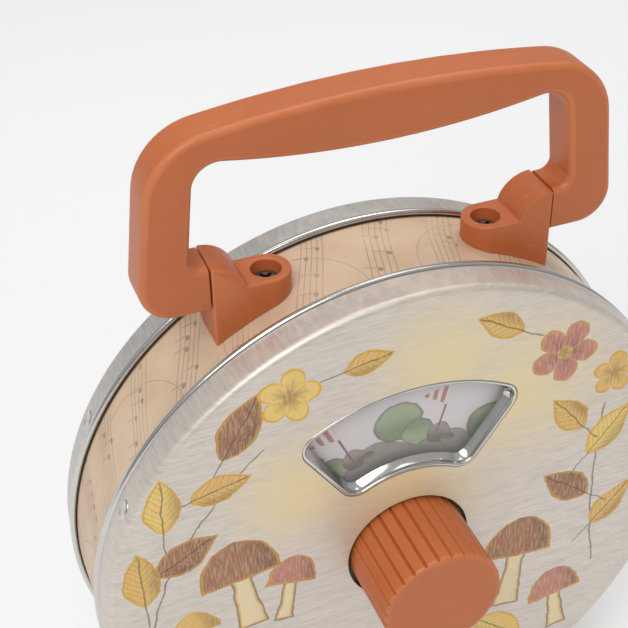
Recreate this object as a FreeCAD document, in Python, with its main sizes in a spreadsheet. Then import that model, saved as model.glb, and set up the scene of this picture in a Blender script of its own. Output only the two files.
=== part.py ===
"""A round wind-up music tin: two pressed lids on a printed band, a swinging carry handle, a fluted
winding knob, and a two-plate clockwork that turns a picture disc behind a window and plays a comb.

All sizes are millimetres. Pieces are drawn about the middle of the tin, x to the right, y to the back,
z up, and are then placed so that the tin stands on z = 0 with the middle of its whole depth at y = 0.
"""
import FreeCAD
import Part
import Sketcher
import math
import os
import re

Vector = FreeCAD.Vector

doc = FreeCAD.newDocument("MusicTin")
sheet = doc.addObject("Spreadsheet::Sheet", "Sizes")

SIZES = [
    # tin case
    ("bead_radius", 65.0, "outer radius of the bead rolled on each lid's edge"),
    ("bead_thick", 1.6, "thickness of that bead"),
    ("bead_level", 10.2, "bead's distance from the tin's middle plane"),
    ("case_depth", 35.0, "face of one lid to face of the other"),
    ("tin", 0.4, "sheet thickness"),
    ("lid_step", 0.9, "bead stands this far out of the skirt"),
    ("lid_round", 1.5, "outer radius of the lid's edge"),
    ("lid_fit", 0.05, "gap between the skirts and the band"),
    ("seam_width", 5.0, "lap of the band's ends"),
    ("seam_thick", 0.3, "the lap stands this far out of the band"),
    ("pip_long", 3.2, "length of a snap pip round the skirt"),
    ("pip_wide", 2.2, "width of a snap pip"),
    ("pip_depth", 0.25, "depth of a snap pip"),
    ("pip_level", 14.0, "pip's distance from the middle plane"),
    ("pip_angle", 26.5, "pip's angle above or below the horizontal, in degrees"),
    # window
    ("window_inner", 21.8, "inner radius of the window"),
    ("window_outer", 41.9, "outer radius of the window"),
    ("window_half", 34.5, "half of the window's angle, in degrees"),
    ("window_corner", 3.4, "corner radius of the window"),
    ("rim_depth", 2.3, "depth of the edge turned in round the window"),
    ("lens_lap", 1.6, "the lens reaches this far past the window's edge"),
    ("lens_thick", 0.7, "thickness of the lens"),
    # winding knob and picture disc
    ("knob_radius", 12.7, "outer radius of the knob"),
    ("knob_reach", 17.0, "the knob stands this far out of the lid"),
    ("knob_gap", 0.9, "gap round the knob in the lid"),
    ("knob_sink", 3.9, "the knob goes this far in behind the lid's face, to the picture disc"),
    ("knob_cap", 3.0, "thickness of the knob over the arbor's end"),
    ("flute_count", 28, "flutes round the knob"),
    ("flute_width", 1.0, "width of a flute at the knob's surface"),
    ("flute_depth", 0.5, "depth of a flute"),
    ("disc_lap", 4.1, "the picture disc reaches this far past the window's outer edge"),
    ("disc_thick", 0.6, "thickness of the picture disc"),
    # brackets and carry handle
    ("bracket_face", 34.5, "outer face of a bracket from the middle"),
    ("bracket_depth", 9.5, "front to back of a bracket"),
    ("bracket_fit", 0.05, "gap between the brackets and the band"),
    ("hump_radius", 7.0, "radius of the bracket's hump"),
    ("hump_rise", 5.6, "top of the hump above the beads"),
    ("lobe_rise", 0.5, "top of the bracket's screw lobe above the beads"),
    ("screw_x", 22.7, "bracket screw from the middle"),
    ("screw_sink", 4.2, "depth of the counterbore over the screw"),
    ("screw_sink_radius", 2.93, "radius of that counterbore"),
    ("lobe_flat", 0.02, "half of the flat left in the middle of the lobe's round end"),
    ("clamp_thick", 5.4, "thickness of the clamp inside the band"),
    ("clamp_depth", 11.0, "front to back of the clamp"),
    ("clamp_inner", 15.5, "inner end of the clamp from the middle"),
    ("clamp_outer", 32.5, "outer end of the clamp from the middle"),
    ("pivot_rise", 1.3, "handle's axis above the beads"),
    ("pivot_radius", 2.0, "radius of the handle's pins"),
    ("pivot_length", 3.4, "depth of the brackets' sockets"),
    ("pivot_root", 0.5, "the pins start this far inside the handle"),
    ("pivot_end", 0.7, "gap at the end of a pin in its socket"),
    ("pivot_fit", 0.06, "gap round the pins in the brackets"),
    ("pivot_gap", 0.4, "gap between the handle and the brackets"),
    ("handle_half", 48.6, "half of the handle's width at the elbows"),
    ("handle_lean", 4.2, "the legs lean in by this much up to the shoulders"),
    ("handle_rise", 35.0, "top of the handle above the beads"),
    ("handle_drop", 4.0, "the top edge falls this much towards the shoulders"),
    ("handle_depth", 9.0, "front to back of the handle"),
    ("stub_half", 4.6, "half of the height of the elbow's end"),
    ("leg_width", 10.2, "width of a leg at the elbow"),
    ("leg_taper", 1.8, "a leg is this much narrower at the shoulder"),
    ("grip_depth", 11.0, "height of the grip in the middle"),
    ("grip_rise", 3.7, "the grip's underside rises this much towards the legs"),
    ("elbow_round", 6.6, "outer radius of the elbows"),
    ("shoulder_round", 13.5, "outer radius of the shoulders"),
    ("armpit_round", 5.0, "inner radius of the shoulders"),
    ("elbow_inner_round", 2.2, "inner radius of the elbows"),
    ("handle_round", 1.7, "rounding of the handle's edges"),
    # clockwork frame
    ("plate_set", 7.9, "front plate's distance behind the lid's face"),
    ("plate_thick", 1.2, "thickness of the clockwork plates"),
    ("plate_span", 18.4, "distance between the plates"),
    ("plate_left", 9.2, "left edge of the plates from the pillars there"),
    ("plate_right", 3.4, "right edge of the plates from the pillars there"),
    ("plate_edge", 5.0, "top and bottom edges of the plates from the pillars there"),
    ("plate_corner", 5.0, "corner radius of the plates"),
    ("post_gap", 1.24, "gap between the great wheel's teeth and the pillars, across"),
    ("post_top", 11.0, "upper pillars above the arbor"),
    ("post_low", 42.0, "lower pillars below the arbor"),
    ("pillar_radius", 2.8, "radius of a six-sided pillar, to its corners"),
    ("run_fit", 0.06, "gap round a turning pivot"),
    ("seat_fit", 0.02, "gap where a piece is pressed on its arbor"),
    # spring and arbor
    ("arbor_radius", 2.5, "radius of the winding arbor"),
    ("arbor_room", 0.5, "gap between the arbor and the mainspring"),
    ("spring_radius", 15.5, "outer radius of the wound mainspring"),
    ("spring_turns", 5, "turns of the mainspring"),
    ("spring_strip", 0.5, "thickness of the mainspring"),
    ("spring_set", 5.2, "mainspring's distance from the front plate"),
    ("spring_width", 11.0, "width of the mainspring's strip"),
    ("spring_tail", 70.0, "angle over which its outer end runs to a pillar, in degrees"),
    # wheels
    ("great_teeth", 24, "teeth of the great wheel"),
    ("cylinder_teeth", 8, "teeth of the cylinder's pinion"),
    ("great_module", 1.95, "tooth size of the pair"),
    ("tooth_play", 0.25, "play between the teeth, in modules"),
    ("tooth_tip", 0.8, "height of a tooth above the pitch circle, in modules"),
    ("tooth_root", 1.05, "depth of a tooth below the pitch circle, in modules"),
    ("tooth_lean", 0.45, "slope of a tooth's side above the pitch circle"),
    ("great_thick", 1.5, "thickness of the great wheel"),
    ("tooth_sink", 0.4, "a tooth reaches this far into its wheel, in modules"),
    ("tooth_flare", 0.6, "slope of a tooth's side below the pitch circle, as a share of that above it"),
    ("great_set", 0.7, "great wheel's distance from the front plate"),
    ("cylinder_pinion_set", 0.5, "cylinder pinion's distance from the front plate"),
    ("cylinder_pinion_thick", 2.1, "thickness of the cylinder pinion"),
    # cylinder and comb
    ("cylinder_radius", 7.0, "radius of the pinned cylinder"),
    ("cylinder_length", 13.6, "length of the pinned cylinder"),
    ("pin_rise", 0.8, "the pins stand this far out of the cylinder"),
    ("pin_width", 0.45, "width of a pin"),
    ("pin_turn", 77.0, "angle from the pin of one row to that of the next, in degrees"),
    ("cylinder_arbor", 1.5, "radius of the cylinder's arbor"),
    ("comb_teeth", 9, "teeth of the comb"),
    ("comb_pitch", 1.2, "spacing of the comb's teeth"),
    ("comb_tooth", 0.85, "width of a comb tooth"),
    ("comb_thick", 0.9, "thickness of the comb"),
    ("comb_gap", 0.4, "the comb's tips stand this far off the pins"),
    ("comb_free", 10.0, "free length of the comb's teeth"),
    ("comb_base", 10.0, "width of the comb's base"),
    ("comb_inset", 1.6, "comb's base is this much shorter than its block at each end"),
    ("block_height", 6.2, "height of the comb block"),
]

for row, (alias, number, meaning) in enumerate(SIZES, start=1):
    sheet.set(f"A{row}", alias)
    sheet.set(f"B{row}", str(number))
    sheet.setAlias(f"B{row}", alias)
    sheet.set(f"C{row}", meaning)
doc.recompute()
ALIASES = {alias for alias, number, meaning in SIZES}


def bound(formula):
    """The formula with each size's name pointing at its cell."""
    return re.sub(
        r"[a-z_]+",
        lambda word: f"Sizes.{word.group()}" if word.group() in ALIASES else word.group(),
        formula,
    )


def number_of(formula):
    """The value of a formula of sizes."""
    return float(sheet.evalExpression(formula))


def new_body(label):
    body = doc.addObject("PartDesign::Body", label)
    body.Label = label
    body.AllowCompound = True
    return body


def place(piece, x="0", z="0"):
    """Put a piece drawn about its own axis at x and z from the middle of the tin."""
    piece.setExpression("Placement.Base.x", bound(x))
    piece.setExpression("Placement.Base.y", bound("knob_reach / 2"))
    piece.setExpression("Placement.Base.z", bound(f"bead_radius + {z}"))
    return piece


def new_sketch(body, name, role, level="0"):
    """A sketch on one of the body's planes, moved along that plane's normal by level."""
    sketch = body.newObject("Sketcher::SketchObject", f"{body.Label}_{name}")
    plane = [feature for feature in body.Origin.OriginFeatures if feature.Role == role][0]
    sketch.AttachmentSupport = (plane, [""])
    sketch.MapMode = "FlatFace"
    sketch.setExpression("AttachmentOffset.Base.z", bound(level))
    return sketch


def fix(sketch, kind, references, formula):
    """One dimension of a sketch, bound to a formula of sizes."""
    index = sketch.addConstraint(Sketcher.Constraint(kind, *references, number_of(formula)))
    name = f"{kind}_{index}"
    sketch.renameConstraint(index, name)
    sketch.setExpression(f"Constraints.{name}", bound(formula))


def fix_point(sketch, piece, end, point):
    """Hold one end of a line or arc, or a centre, at a point given by two formulas."""
    if point[0] == "0":
        sketch.addConstraint(Sketcher.Constraint("PointOnObject", piece, end, -2))
    else:
        fix(sketch, "DistanceX", (-1, 1, piece, end), point[0])
    if point[1] == "0":
        sketch.addConstraint(Sketcher.Constraint("PointOnObject", piece, end, -1))
    else:
        fix(sketch, "DistanceY", (-1, 1, piece, end), point[1])


def outline(sketch, corners, arcs=None):
    """A closed outline through corners given by formulas. A side is straight unless arcs has its number,
    with the arc's centre, its radius and whether it turns to the left."""
    arcs = arcs or {}
    points = [Vector(number_of(x), number_of(y), 0) for x, y in corners]
    first = sketch.GeometryCount
    ends = []
    for side, start in enumerate(points):
        finish = points[(side + 1) % len(points)]
        if side not in arcs:
            sketch.addGeometry(Part.LineSegment(start, finish))
            ends.append((1, 2))
            continue
        centre, radius, left = arcs[side]
        middle = Vector(number_of(centre[0]), number_of(centre[1]), 0)
        circle = Part.Circle(middle, Vector(0, 0, 1), number_of(radius))
        low, high = (start, finish) if left else (finish, start)
        from_angle = math.atan2(low.y - middle.y, low.x - middle.x)
        to_angle = math.atan2(high.y - middle.y, high.x - middle.x)
        if to_angle <= from_angle:
            to_angle += 2 * math.pi
        sketch.addGeometry(Part.ArcOfCircle(circle, from_angle, to_angle))
        ends.append((1, 2) if left else (2, 1))
    for side, corner in enumerate(corners):
        after = (side + 1) % len(corners)
        sketch.addConstraint(
            Sketcher.Constraint("Coincident", first + side, ends[side][1], first + after, ends[after][0])
        )
        fix_point(sketch, first + side, ends[side][0], corner)
        if side in arcs:
            fix(sketch, "Radius", (first + side,), arcs[side][1])


def circle(sketch, radius, centre=("0", "0")):
    middle = Vector(number_of(centre[0]), number_of(centre[1]), 0)
    index = sketch.addGeometry(Part.Circle(middle, Vector(0, 0, 1), number_of(radius)))
    fix(sketch, "Radius", (index,), radius)
    fix_point(sketch, index, 3, centre)


def face_sketch(body, name, level):
    """A sketch that looks along the tin's depth, at a distance level behind the middle plane."""
    return new_sketch(body, name, "XZ_Plane", f"-({level})")


def pad(body, sketch, length, backwards=True):
    """Thicken a sketch towards the back of the tin, or along its own normal."""
    feature = body.newObject("PartDesign::Pad", f"{sketch.Name}_pad")
    feature.Profile = sketch
    feature.setExpression("Length", bound(length))
    feature.Reversed = backwards
    body.Tip = feature
    return feature


def pocket(body, sketch, length, backwards=True):
    """Cut a sketch away towards the back of the tin, or against its own normal."""
    feature = body.newObject("PartDesign::Pocket", f"{sketch.Name}_cut")
    feature.Profile = sketch
    feature.setExpression("Length", bound(length))
    feature.Reversed = not backwards
    body.Tip = feature
    return feature


def lathe(body, name, corners, arcs=None):
    """Turn an outline, given as radius and depth, about the piece's axis."""
    sketch = new_sketch(body, name, "XY_Plane")
    outline(sketch, corners, arcs)
    feature = body.newObject("PartDesign::Revolution", f"{sketch.Name}_turned")
    feature.Profile = sketch
    feature.ReferenceAxis = (sketch, ["V_Axis"])
    feature.Angle = 360
    body.Tip = feature
    return feature


def around(body, feature, count):
    """Repeat a feature evenly about the piece's axis."""
    pattern = body.newObject("PartDesign::PolarPattern", f"{feature.Name}_round")
    pattern.Originals = [feature]
    axis = [item for item in body.Origin.OriginFeatures if item.Role == "Y_Axis"][0]
    pattern.Axis = (axis, [""])
    pattern.Angle = 360
    pattern.setExpression("Occurrences", bound(count))
    body.Tip = pattern
    return pattern


def edges_of(body, chosen):
    """The newest feature of a body and its edges that the test chooses by middle point and direction."""
    doc.recompute()
    base = body.Tip
    names = []
    for index, edge in enumerate(base.Shape.Edges, start=1):
        halfway = (edge.FirstParameter + edge.LastParameter) / 2
        if chosen(edge.valueAt(halfway), edge.tangentAt(halfway)):
            names.append(f"Edge{index}")
    return base, names


def fillet(body, name, radius, chosen):
    """Round the chosen edges."""
    base = edges_of(body, chosen)
    feature = body.newObject("PartDesign::Fillet", f"{body.Label}_{name}")
    feature.Base = base
    feature.setExpression("Radius", bound(radius))
    body.Tip = feature
    return feature


def chamfer(body, name, size, chosen):
    """Take off the chosen edges."""
    base = edges_of(body, chosen)
    feature = body.newObject("PartDesign::Chamfer", f"{body.Label}_{name}")
    feature.Base = base
    feature.setExpression("Size", bound(size))
    body.Tip = feature
    return feature


def near(first, second, room=0.05):
    return abs(first - second) < room


# Levels along the tin's depth that several pieces share.
FACE = "case_depth / 2"
DISC_FRONT = "-case_depth / 2 + knob_sink"
PLATE = "-case_depth / 2 + plate_set"
INSIDE = "-case_depth / 2 + plate_set + plate_thick"
REAR_INSIDE = "-case_depth / 2 + plate_set + plate_thick + plate_span"
REAR_OUTSIDE = "-case_depth / 2 + plate_set + 2 * plate_thick + plate_span"
SKIRT = "bead_radius - lid_step"
BAND = "bead_radius - lid_step - tin - lid_fit"

# Heights above the middle of the tin, and the clockwork's layout about the arbor.
HUMP_TOP = "(bead_radius + hump_rise)"
LOBE_TOP = "(bead_radius + lobe_rise)"
PIVOT_Z = "(bead_radius + pivot_rise)"
HANDLE_TOP = "(bead_radius + handle_rise)"
CYLINDER_DROP = "((great_teeth + cylinder_teeth) * great_module / 2)"
CYLINDER_Z = f"-{CYLINDER_DROP}"
POST_X = "((great_teeth / 2 + tooth_tip) * great_module + pillar_radius + post_gap)"


def lid_profile(side, hole):
    """Section of a lid: face, edge, skirt and rolled bead. Side is -1 in front and 1 behind."""
    inner = f"({SKIRT} - tin)"
    return [
        (hole, f"{side} * ({FACE})"),
        (f"{SKIRT} - lid_round", f"{side} * ({FACE})"),
        (SKIRT, f"{side} * ({FACE} - lid_round)"),
        (SKIRT, f"{side} * (bead_level + bead_thick / 2)"),
        ("bead_radius", f"{side} * (bead_level + bead_thick / 4)"),
        ("bead_radius", f"{side} * (bead_level - bead_thick / 4)"),
        (inner, f"{side} * (bead_level - bead_thick / 2)"),
        (inner, f"{side} * ({FACE} - lid_round)"),
        (f"{SKIRT} - lid_round", f"{side} * ({FACE} - tin)"),
        (hole, f"{side} * ({FACE} - tin)"),
    ]


def window_outline(grow):
    """The window's outline, a sector of a ring with rounded corners, made larger all round by grow."""
    inner_turn = "(window_half * 1 deg - asin(window_corner / (window_inner + window_corner)))"
    outer_turn = "(window_half * 1 deg - asin(window_corner / (window_outer - window_corner)))"
    across = "cos(window_half * 1 deg)"
    down = "sin(window_half * 1 deg)"
    low_x = f"(window_inner + window_corner) * sin({inner_turn})"
    low_z = f"(window_inner + window_corner) * cos({inner_turn})"
    high_x = f"(window_outer - window_corner) * sin({outer_turn})"
    high_z = f"(window_outer - window_corner) * cos({outer_turn})"
    corner = f"(window_corner + {grow})"
    right = [
        (f"(window_inner - {grow}) * sin({inner_turn})", f"(window_inner - {grow}) * cos({inner_turn})"),
        (f"{low_x} + {corner} * {across}", f"{low_z} - {corner} * {down}"),
        (f"{high_x} + {corner} * {across}", f"{high_z} - {corner} * {down}"),
        (f"(window_outer + {grow}) * sin({outer_turn})", f"(window_outer + {grow}) * cos({outer_turn})"),
    ]
    left = [(f"-({x})", z) for x, z in reversed(right)]
    arcs = {
        0: ((low_x, low_z), corner, True),
        2: ((high_x, high_z), corner, True),
        3: (("0", "0"), f"window_outer + {grow}", True),
        4: ((f"-({high_x})", high_z), corner, True),
        6: ((f"-({low_x})", low_z), corner, True),
        7: (("0", "0"), f"window_inner - {grow}", False),
    }
    return right + left, arcs


def press_pips(body, side):
    """Four pips pressed into the lid's skirt, which hold it on the band."""
    for angle in ("pip_angle", "180 - pip_angle", "180 + pip_angle", "-pip_angle"):
        along = f"cos(({angle}) * 1 deg)"
        up = f"sin(({angle}) * 1 deg)"
        pip = body.newObject("PartDesign::SubtractiveBox", f"{body.Label}_pip")
        pip.setExpression("Length", bound("tin"))
        pip.setExpression("Width", bound("pip_wide"))
        pip.setExpression("Height", bound("pip_long"))
        floor = f"({SKIRT} - pip_depth)"
        pip.setExpression("Placement.Base.x", bound(f"{floor} * {along} + pip_long / 2 * {up}"))
        pip.setExpression("Placement.Base.y", bound(f"{side} * pip_level - pip_wide / 2"))
        pip.setExpression("Placement.Base.z", bound(f"{floor} * {up} - pip_long / 2 * {along}"))
        pip.setExpression("Placement.Rotation.Axis.x", "0")
        pip.setExpression("Placement.Rotation.Axis.y", "-1")
        pip.setExpression("Placement.Rotation.Axis.z", "0")
        pip.setExpression("Placement.Rotation.Angle", bound(f"({angle}) * 1 deg"))
        body.Tip = pip


# Front lid: a shallow pressed lid with the knob's hole, and a window whose edge is turned in.
front_lid = new_body("front_lid")
lathe(front_lid, "section", lid_profile(-1, "knob_radius + knob_gap"))
window_hole = face_sketch(front_lid, "window", f"-({FACE})")
outline(window_hole, *window_outline("0"))
pocket(front_lid, window_hole, "2 * tin")
window_rim = face_sketch(front_lid, "rim", f"-({FACE})")
outline(window_rim, *window_outline("tin"))
outline(window_rim, *window_outline("0"))
pad(front_lid, window_rim, "rim_depth")
press_pips(front_lid, -1)
place(front_lid)

# Rear lid: the same pressing, closed.
rear_lid = new_body("rear_lid")
lathe(rear_lid, "section", lid_profile(1, "0"))
press_pips(rear_lid, 1)
place(rear_lid)

# Side band: a strip of printed tin rolled round inside both skirts, its ends lapped at the bottom.
side_band = new_body("side_band")
BAND_HALF = "(case_depth / 2 - lid_round - lid_fit)"
band_corners = [
    (f"{BAND} - tin", f"-{BAND_HALF}"),
    (BAND, f"-{BAND_HALF}"),
    (BAND, BAND_HALF),
    (f"{BAND} - tin", BAND_HALF),
]
lathe(side_band, "strip", band_corners)
SEAM_LENGTH = "(bead_level - bead_thick)"
seam_turn = f"asin(seam_width / 2 / ({BAND}))"
seam = face_sketch(side_band, "seam", f"-{SEAM_LENGTH}")
seam_corners = [
    (f"-({BAND} - tin / 2) * sin({seam_turn})", f"-({BAND} - tin / 2) * cos({seam_turn})"),
    (f"-({BAND} + seam_thick) * sin({seam_turn})", f"-({BAND} + seam_thick) * cos({seam_turn})"),
    (f"({BAND} + seam_thick) * sin({seam_turn})", f"-({BAND} + seam_thick) * cos({seam_turn})"),
    (f"({BAND} - tin / 2) * sin({seam_turn})", f"-({BAND} - tin / 2) * cos({seam_turn})"),
]
seam_arcs = {
    1: (("0", "0"), f"{BAND} + seam_thick", True),
    3: (("0", "0"), f"{BAND} - tin / 2", False),
}
outline(seam, seam_corners, seam_arcs)
pad(side_band, seam, f"2 * {SEAM_LENGTH}")
place(side_band)

# Window lens: a clear sheet with straight edges, fixed behind the turned-in edge.
window_lens = new_body("window_lens")
lens_sketch = face_sketch(window_lens, "sheet", f"-({FACE}) + rim_depth")
LENS_LOW = "(window_inner * cos(window_half * 1 deg) - lens_lap)"
LENS_HIGH = "(window_outer + lens_lap)"
LENS_FLARE = "tan(window_half * 1 deg)"
LENS_SIDE = "(lens_lap / cos(window_half * 1 deg))"
LENS_WIDE = "(window_outer * sin(window_half * 1 deg) + lens_lap)"
lens_right = [
    (f"{LENS_LOW} * {LENS_FLARE} + {LENS_SIDE}", LENS_LOW),
    (LENS_WIDE, f"({LENS_WIDE} - {LENS_SIDE}) / {LENS_FLARE}"),
    (LENS_WIDE, LENS_HIGH),
]
lens_left = [(f"-({x})", z) for x, z in reversed(lens_right)]
outline(lens_sketch, lens_right + lens_left)
pad(window_lens, lens_sketch, "lens_thick")
place(window_lens)


def make_bracket(label, side):
    """A moulded bracket: a screw lobe, a hump that holds the handle's pin, an underside that follows the
    band. Side is 1 on the right and -1 on the left."""
    body = new_body(label)
    under = f"({BAND} + bracket_fit)"
    lobe_end = "(screw_x - bracket_depth / 2)"
    hump_z = f"({HUMP_TOP} - hump_radius)"
    hump_foot = f"(bracket_face - sqrt(hump_radius^2 - ({LOBE_TOP} - {hump_z})^2))"
    corners = [
        (f"{side} * bracket_face", f"sqrt({under}^2 - bracket_face^2)"),
        (f"{side} * bracket_face", HUMP_TOP),
        (f"{side} * {hump_foot}", LOBE_TOP),
        (f"{side} * {lobe_end}", LOBE_TOP),
        (f"{side} * {lobe_end}", f"sqrt({under}^2 - {lobe_end}^2)"),
    ]
    left = side > 0
    arcs = {
        1: ((f"{side} * bracket_face", hump_z), "hump_radius", left),
        4: (("0", "0"), under, not left),
    }
    side_view = face_sketch(body, "side_view", "-bracket_depth / 2")
    outline(side_view, corners, arcs)
    pad(body, side_view, "bracket_depth")
    end = number_of(lobe_end)
    upright = lambda middle, along: near(abs(along.z), 1) and near(abs(middle.x), end)
    fillet(body, "lobe_end", "bracket_depth / 2 - lobe_flat", upright)
    sink = new_sketch(body, "counterbore", "XY_Plane", LOBE_TOP)
    circle(sink, "screw_sink_radius", (f"{side} * screw_x", "0"))
    pocket(body, sink, "screw_sink", True)
    socket = new_sketch(body, "socket", "YZ_Plane", f"{side} * bracket_face")
    circle(socket, "pivot_radius + pivot_fit", ("0", PIVOT_Z))
    pocket(body, socket, "pivot_length", side > 0)
    return place(body)


bracket_left = make_bracket("bracket_left", -1)
bracket_right = make_bracket("bracket_right", 1)


def make_clamp(label, side):
    """A moulded clamp inside the band, which the bracket's screw draws up against it."""
    body = new_body(label)
    top = f"({BAND} - tin - bracket_fit)"
    low = f"({BAND} - tin - bracket_fit - clamp_thick)"
    corners = [
        (f"{side} * clamp_inner", f"sqrt({low}^2 - clamp_inner^2)"),
        (f"{side} * clamp_outer", f"sqrt({low}^2 - clamp_outer^2)"),
        (f"{side} * clamp_outer", f"sqrt({top}^2 - clamp_outer^2)"),
        (f"{side} * clamp_inner", f"sqrt({top}^2 - clamp_inner^2)"),
    ]
    arcs = {
        0: (("0", "0"), low, side < 0),
        2: (("0", "0"), top, side > 0),
    }
    side_view = face_sketch(body, "side_view", "-clamp_depth / 2")
    outline(side_view, corners, arcs)
    pad(body, side_view, "clamp_depth")
    return place(body)


clamp_left = make_clamp("clamp_left", -1)
clamp_right = make_clamp("clamp_right", 1)

# Carry handle: one moulding with a bellied grip, two legs, and elbows that end in pins.
carry_handle = new_body("carry_handle")
STUB = "(bracket_face + pivot_gap)"
SHOULDER = "(handle_half - handle_lean)"
ARMPIT = "(handle_half - handle_lean - leg_width + leg_taper)"
ARCH = f"({SHOULDER}^2 + handle_drop^2) / (2 * handle_drop)"
BELLY = f"({ARMPIT}^2 + grip_rise^2) / (2 * grip_rise)"
GRIP_LOW = f"({HANDLE_TOP} - grip_depth)"
handle_right = [
    (STUB, f"{PIVOT_Z} - stub_half"),
    ("handle_half", f"{PIVOT_Z} - stub_half"),
    (SHOULDER, f"{HANDLE_TOP} - handle_drop"),
]
handle_inner = [
    (ARMPIT, f"{GRIP_LOW} + grip_rise"),
    ("handle_half - leg_width", f"{PIVOT_Z} + stub_half"),
    (STUB, f"{PIVOT_Z} + stub_half"),
]
handle_left = [(f"-{x}" if x == STUB else f"-({x})", z) for x, z in reversed(handle_right)]
handle_back = [(f"-({x})", z) for x, z in reversed(handle_inner)]
handle_arcs = {
    2: (("0", f"{HANDLE_TOP} - {ARCH}"), ARCH, True),
    8: (("0", f"{GRIP_LOW} + {BELLY}"), BELLY, True),
}
handle_view = face_sketch(carry_handle, "front_view", "-handle_depth / 2")
outline(handle_view, handle_right + handle_left + handle_back + handle_inner, handle_arcs)
pad(carry_handle, handle_view, "handle_depth")


def handle_corner(x, z):
    """A test that chooses the handle's two edges across its depth at x and z."""
    return lambda middle, along: (
        near(abs(along.y), 1) and near(abs(middle.x), number_of(x)) and near(middle.z, number_of(z))
    )


fillet(carry_handle, "elbows", "elbow_round", handle_corner("handle_half", f"{PIVOT_Z} - stub_half"))
fillet(carry_handle, "shoulders", "shoulder_round", handle_corner(SHOULDER, f"{HANDLE_TOP} - handle_drop"))
fillet(carry_handle, "armpits", "armpit_round", handle_corner(ARMPIT, f"{GRIP_LOW} + grip_rise"))
inner_elbow = handle_corner("handle_half - leg_width", f"{PIVOT_Z} + stub_half")
fillet(carry_handle, "inner_elbows", "elbow_inner_round", inner_elbow)
handle_face = number_of("handle_depth / 2")
stub_x = number_of(STUB)
chamfer(
    carry_handle,
    "soft_edges",
    "handle_round",
    lambda middle, along: near(abs(middle.y), handle_face) and not near(abs(middle.x), stub_x),
)
for side in (1, -1):
    pin = new_sketch(carry_handle, "pin", "YZ_Plane", f"{side} * ({STUB} + pivot_root)")
    circle(pin, "pivot_radius", ("0", PIVOT_Z))
    pad(carry_handle, pin, "pivot_root + pivot_gap + pivot_length - pivot_end", side > 0)
place(carry_handle)

# Winding knob: a fluted cap that passes through the lid and is pressed on the arbor.
winding_knob = new_body("winding_knob")
KNOB_FRONT = "-case_depth / 2 - knob_reach"
knob_end = face_sketch(winding_knob, "end", KNOB_FRONT)
circle(knob_end, "knob_radius")
pad(winding_knob, knob_end, "knob_reach + knob_sink")
flute = face_sketch(winding_knob, "flute", KNOB_FRONT)
flute_corners = [
    ("0", "knob_radius - flute_depth"),
    ("flute_width", "knob_radius + flute_depth"),
    ("-flute_width", "knob_radius + flute_depth"),
]
outline(flute, flute_corners)
around(winding_knob, pocket(winding_knob, flute, "knob_reach + knob_sink"), "flute_count")
knob_bore = face_sketch(winding_knob, "bore", f"{KNOB_FRONT} + knob_cap")
circle(knob_bore, "arbor_radius + seat_fit")
pocket(winding_knob, knob_bore, "knob_reach + knob_sink")
place(winding_knob)

# Winding arbor: a plain rod from the knob through both plates.
winding_arbor = new_body("winding_arbor")
arbor_end = face_sketch(winding_arbor, "end", f"{KNOB_FRONT} + knob_cap")
circle(arbor_end, "arbor_radius")
pad(winding_arbor, arbor_end, f"{REAR_OUTSIDE} - ({KNOB_FRONT} + knob_cap)")
place(winding_arbor)

# Picture disc: a stiff printed card fixed on the knob's inner end, which turns behind the window.
picture_disc = new_body("picture_disc")
disc_card = face_sketch(picture_disc, "card", DISC_FRONT)
circle(disc_card, "window_outer + disc_lap")
circle(disc_card, "arbor_radius + seat_fit")
pad(picture_disc, disc_card, "disc_thick")
place(picture_disc)


def add_wheel(body, teeth, module, start, thick, bore=None):
    """A toothed wheel with its first tooth straight up."""
    pitch = f"({teeth} * {module} / 2)"
    root = f"({pitch} - tooth_root * {module})"
    tip_half = f"({module} * (pi / 4 - tooth_play / 2 - tooth_tip * tooth_lean))"
    root_half = f"({module} * (pi / 4 - tooth_play / 2 + tooth_root * tooth_lean * tooth_flare))"
    blank = face_sketch(body, f"{teeth}_blank", start)
    circle(blank, root)
    if bore:
        circle(blank, bore)
    pad(body, blank, thick)
    tooth = face_sketch(body, f"{teeth}_tooth", start)
    right = [
        (root_half, f"{root} - tooth_sink * {module}"),
        (root_half, f"sqrt({root}^2 - {root_half}^2)"),
        (tip_half, f"{pitch} + tooth_tip * {module}"),
    ]
    outline(tooth, right + [(f"-{x}", up) for x, up in reversed(right)])
    around(body, pad(body, tooth, thick), teeth)


def turn_to(body, angle):
    """Turn a wheel on its axis until its first tooth stands at an angle from straight up."""
    body.setExpression("Placement.Rotation.Axis.x", "0")
    body.setExpression("Placement.Rotation.Axis.y", "-1")
    body.setExpression("Placement.Rotation.Axis.z", "0")
    body.setExpression("Placement.Rotation.Angle", bound(f"({angle}) * 1 deg"))


# Great wheel: on the arbor, with a tooth pointing down at the cylinder.
great_wheel = new_body("great_wheel")
GREAT_FRONT = f"{INSIDE} + great_set"
add_wheel(great_wheel, "great_teeth", "great_module", GREAT_FRONT, "great_thick", "arbor_radius + seat_fit")
place(great_wheel)
turn_to(great_wheel, "180")

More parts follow.
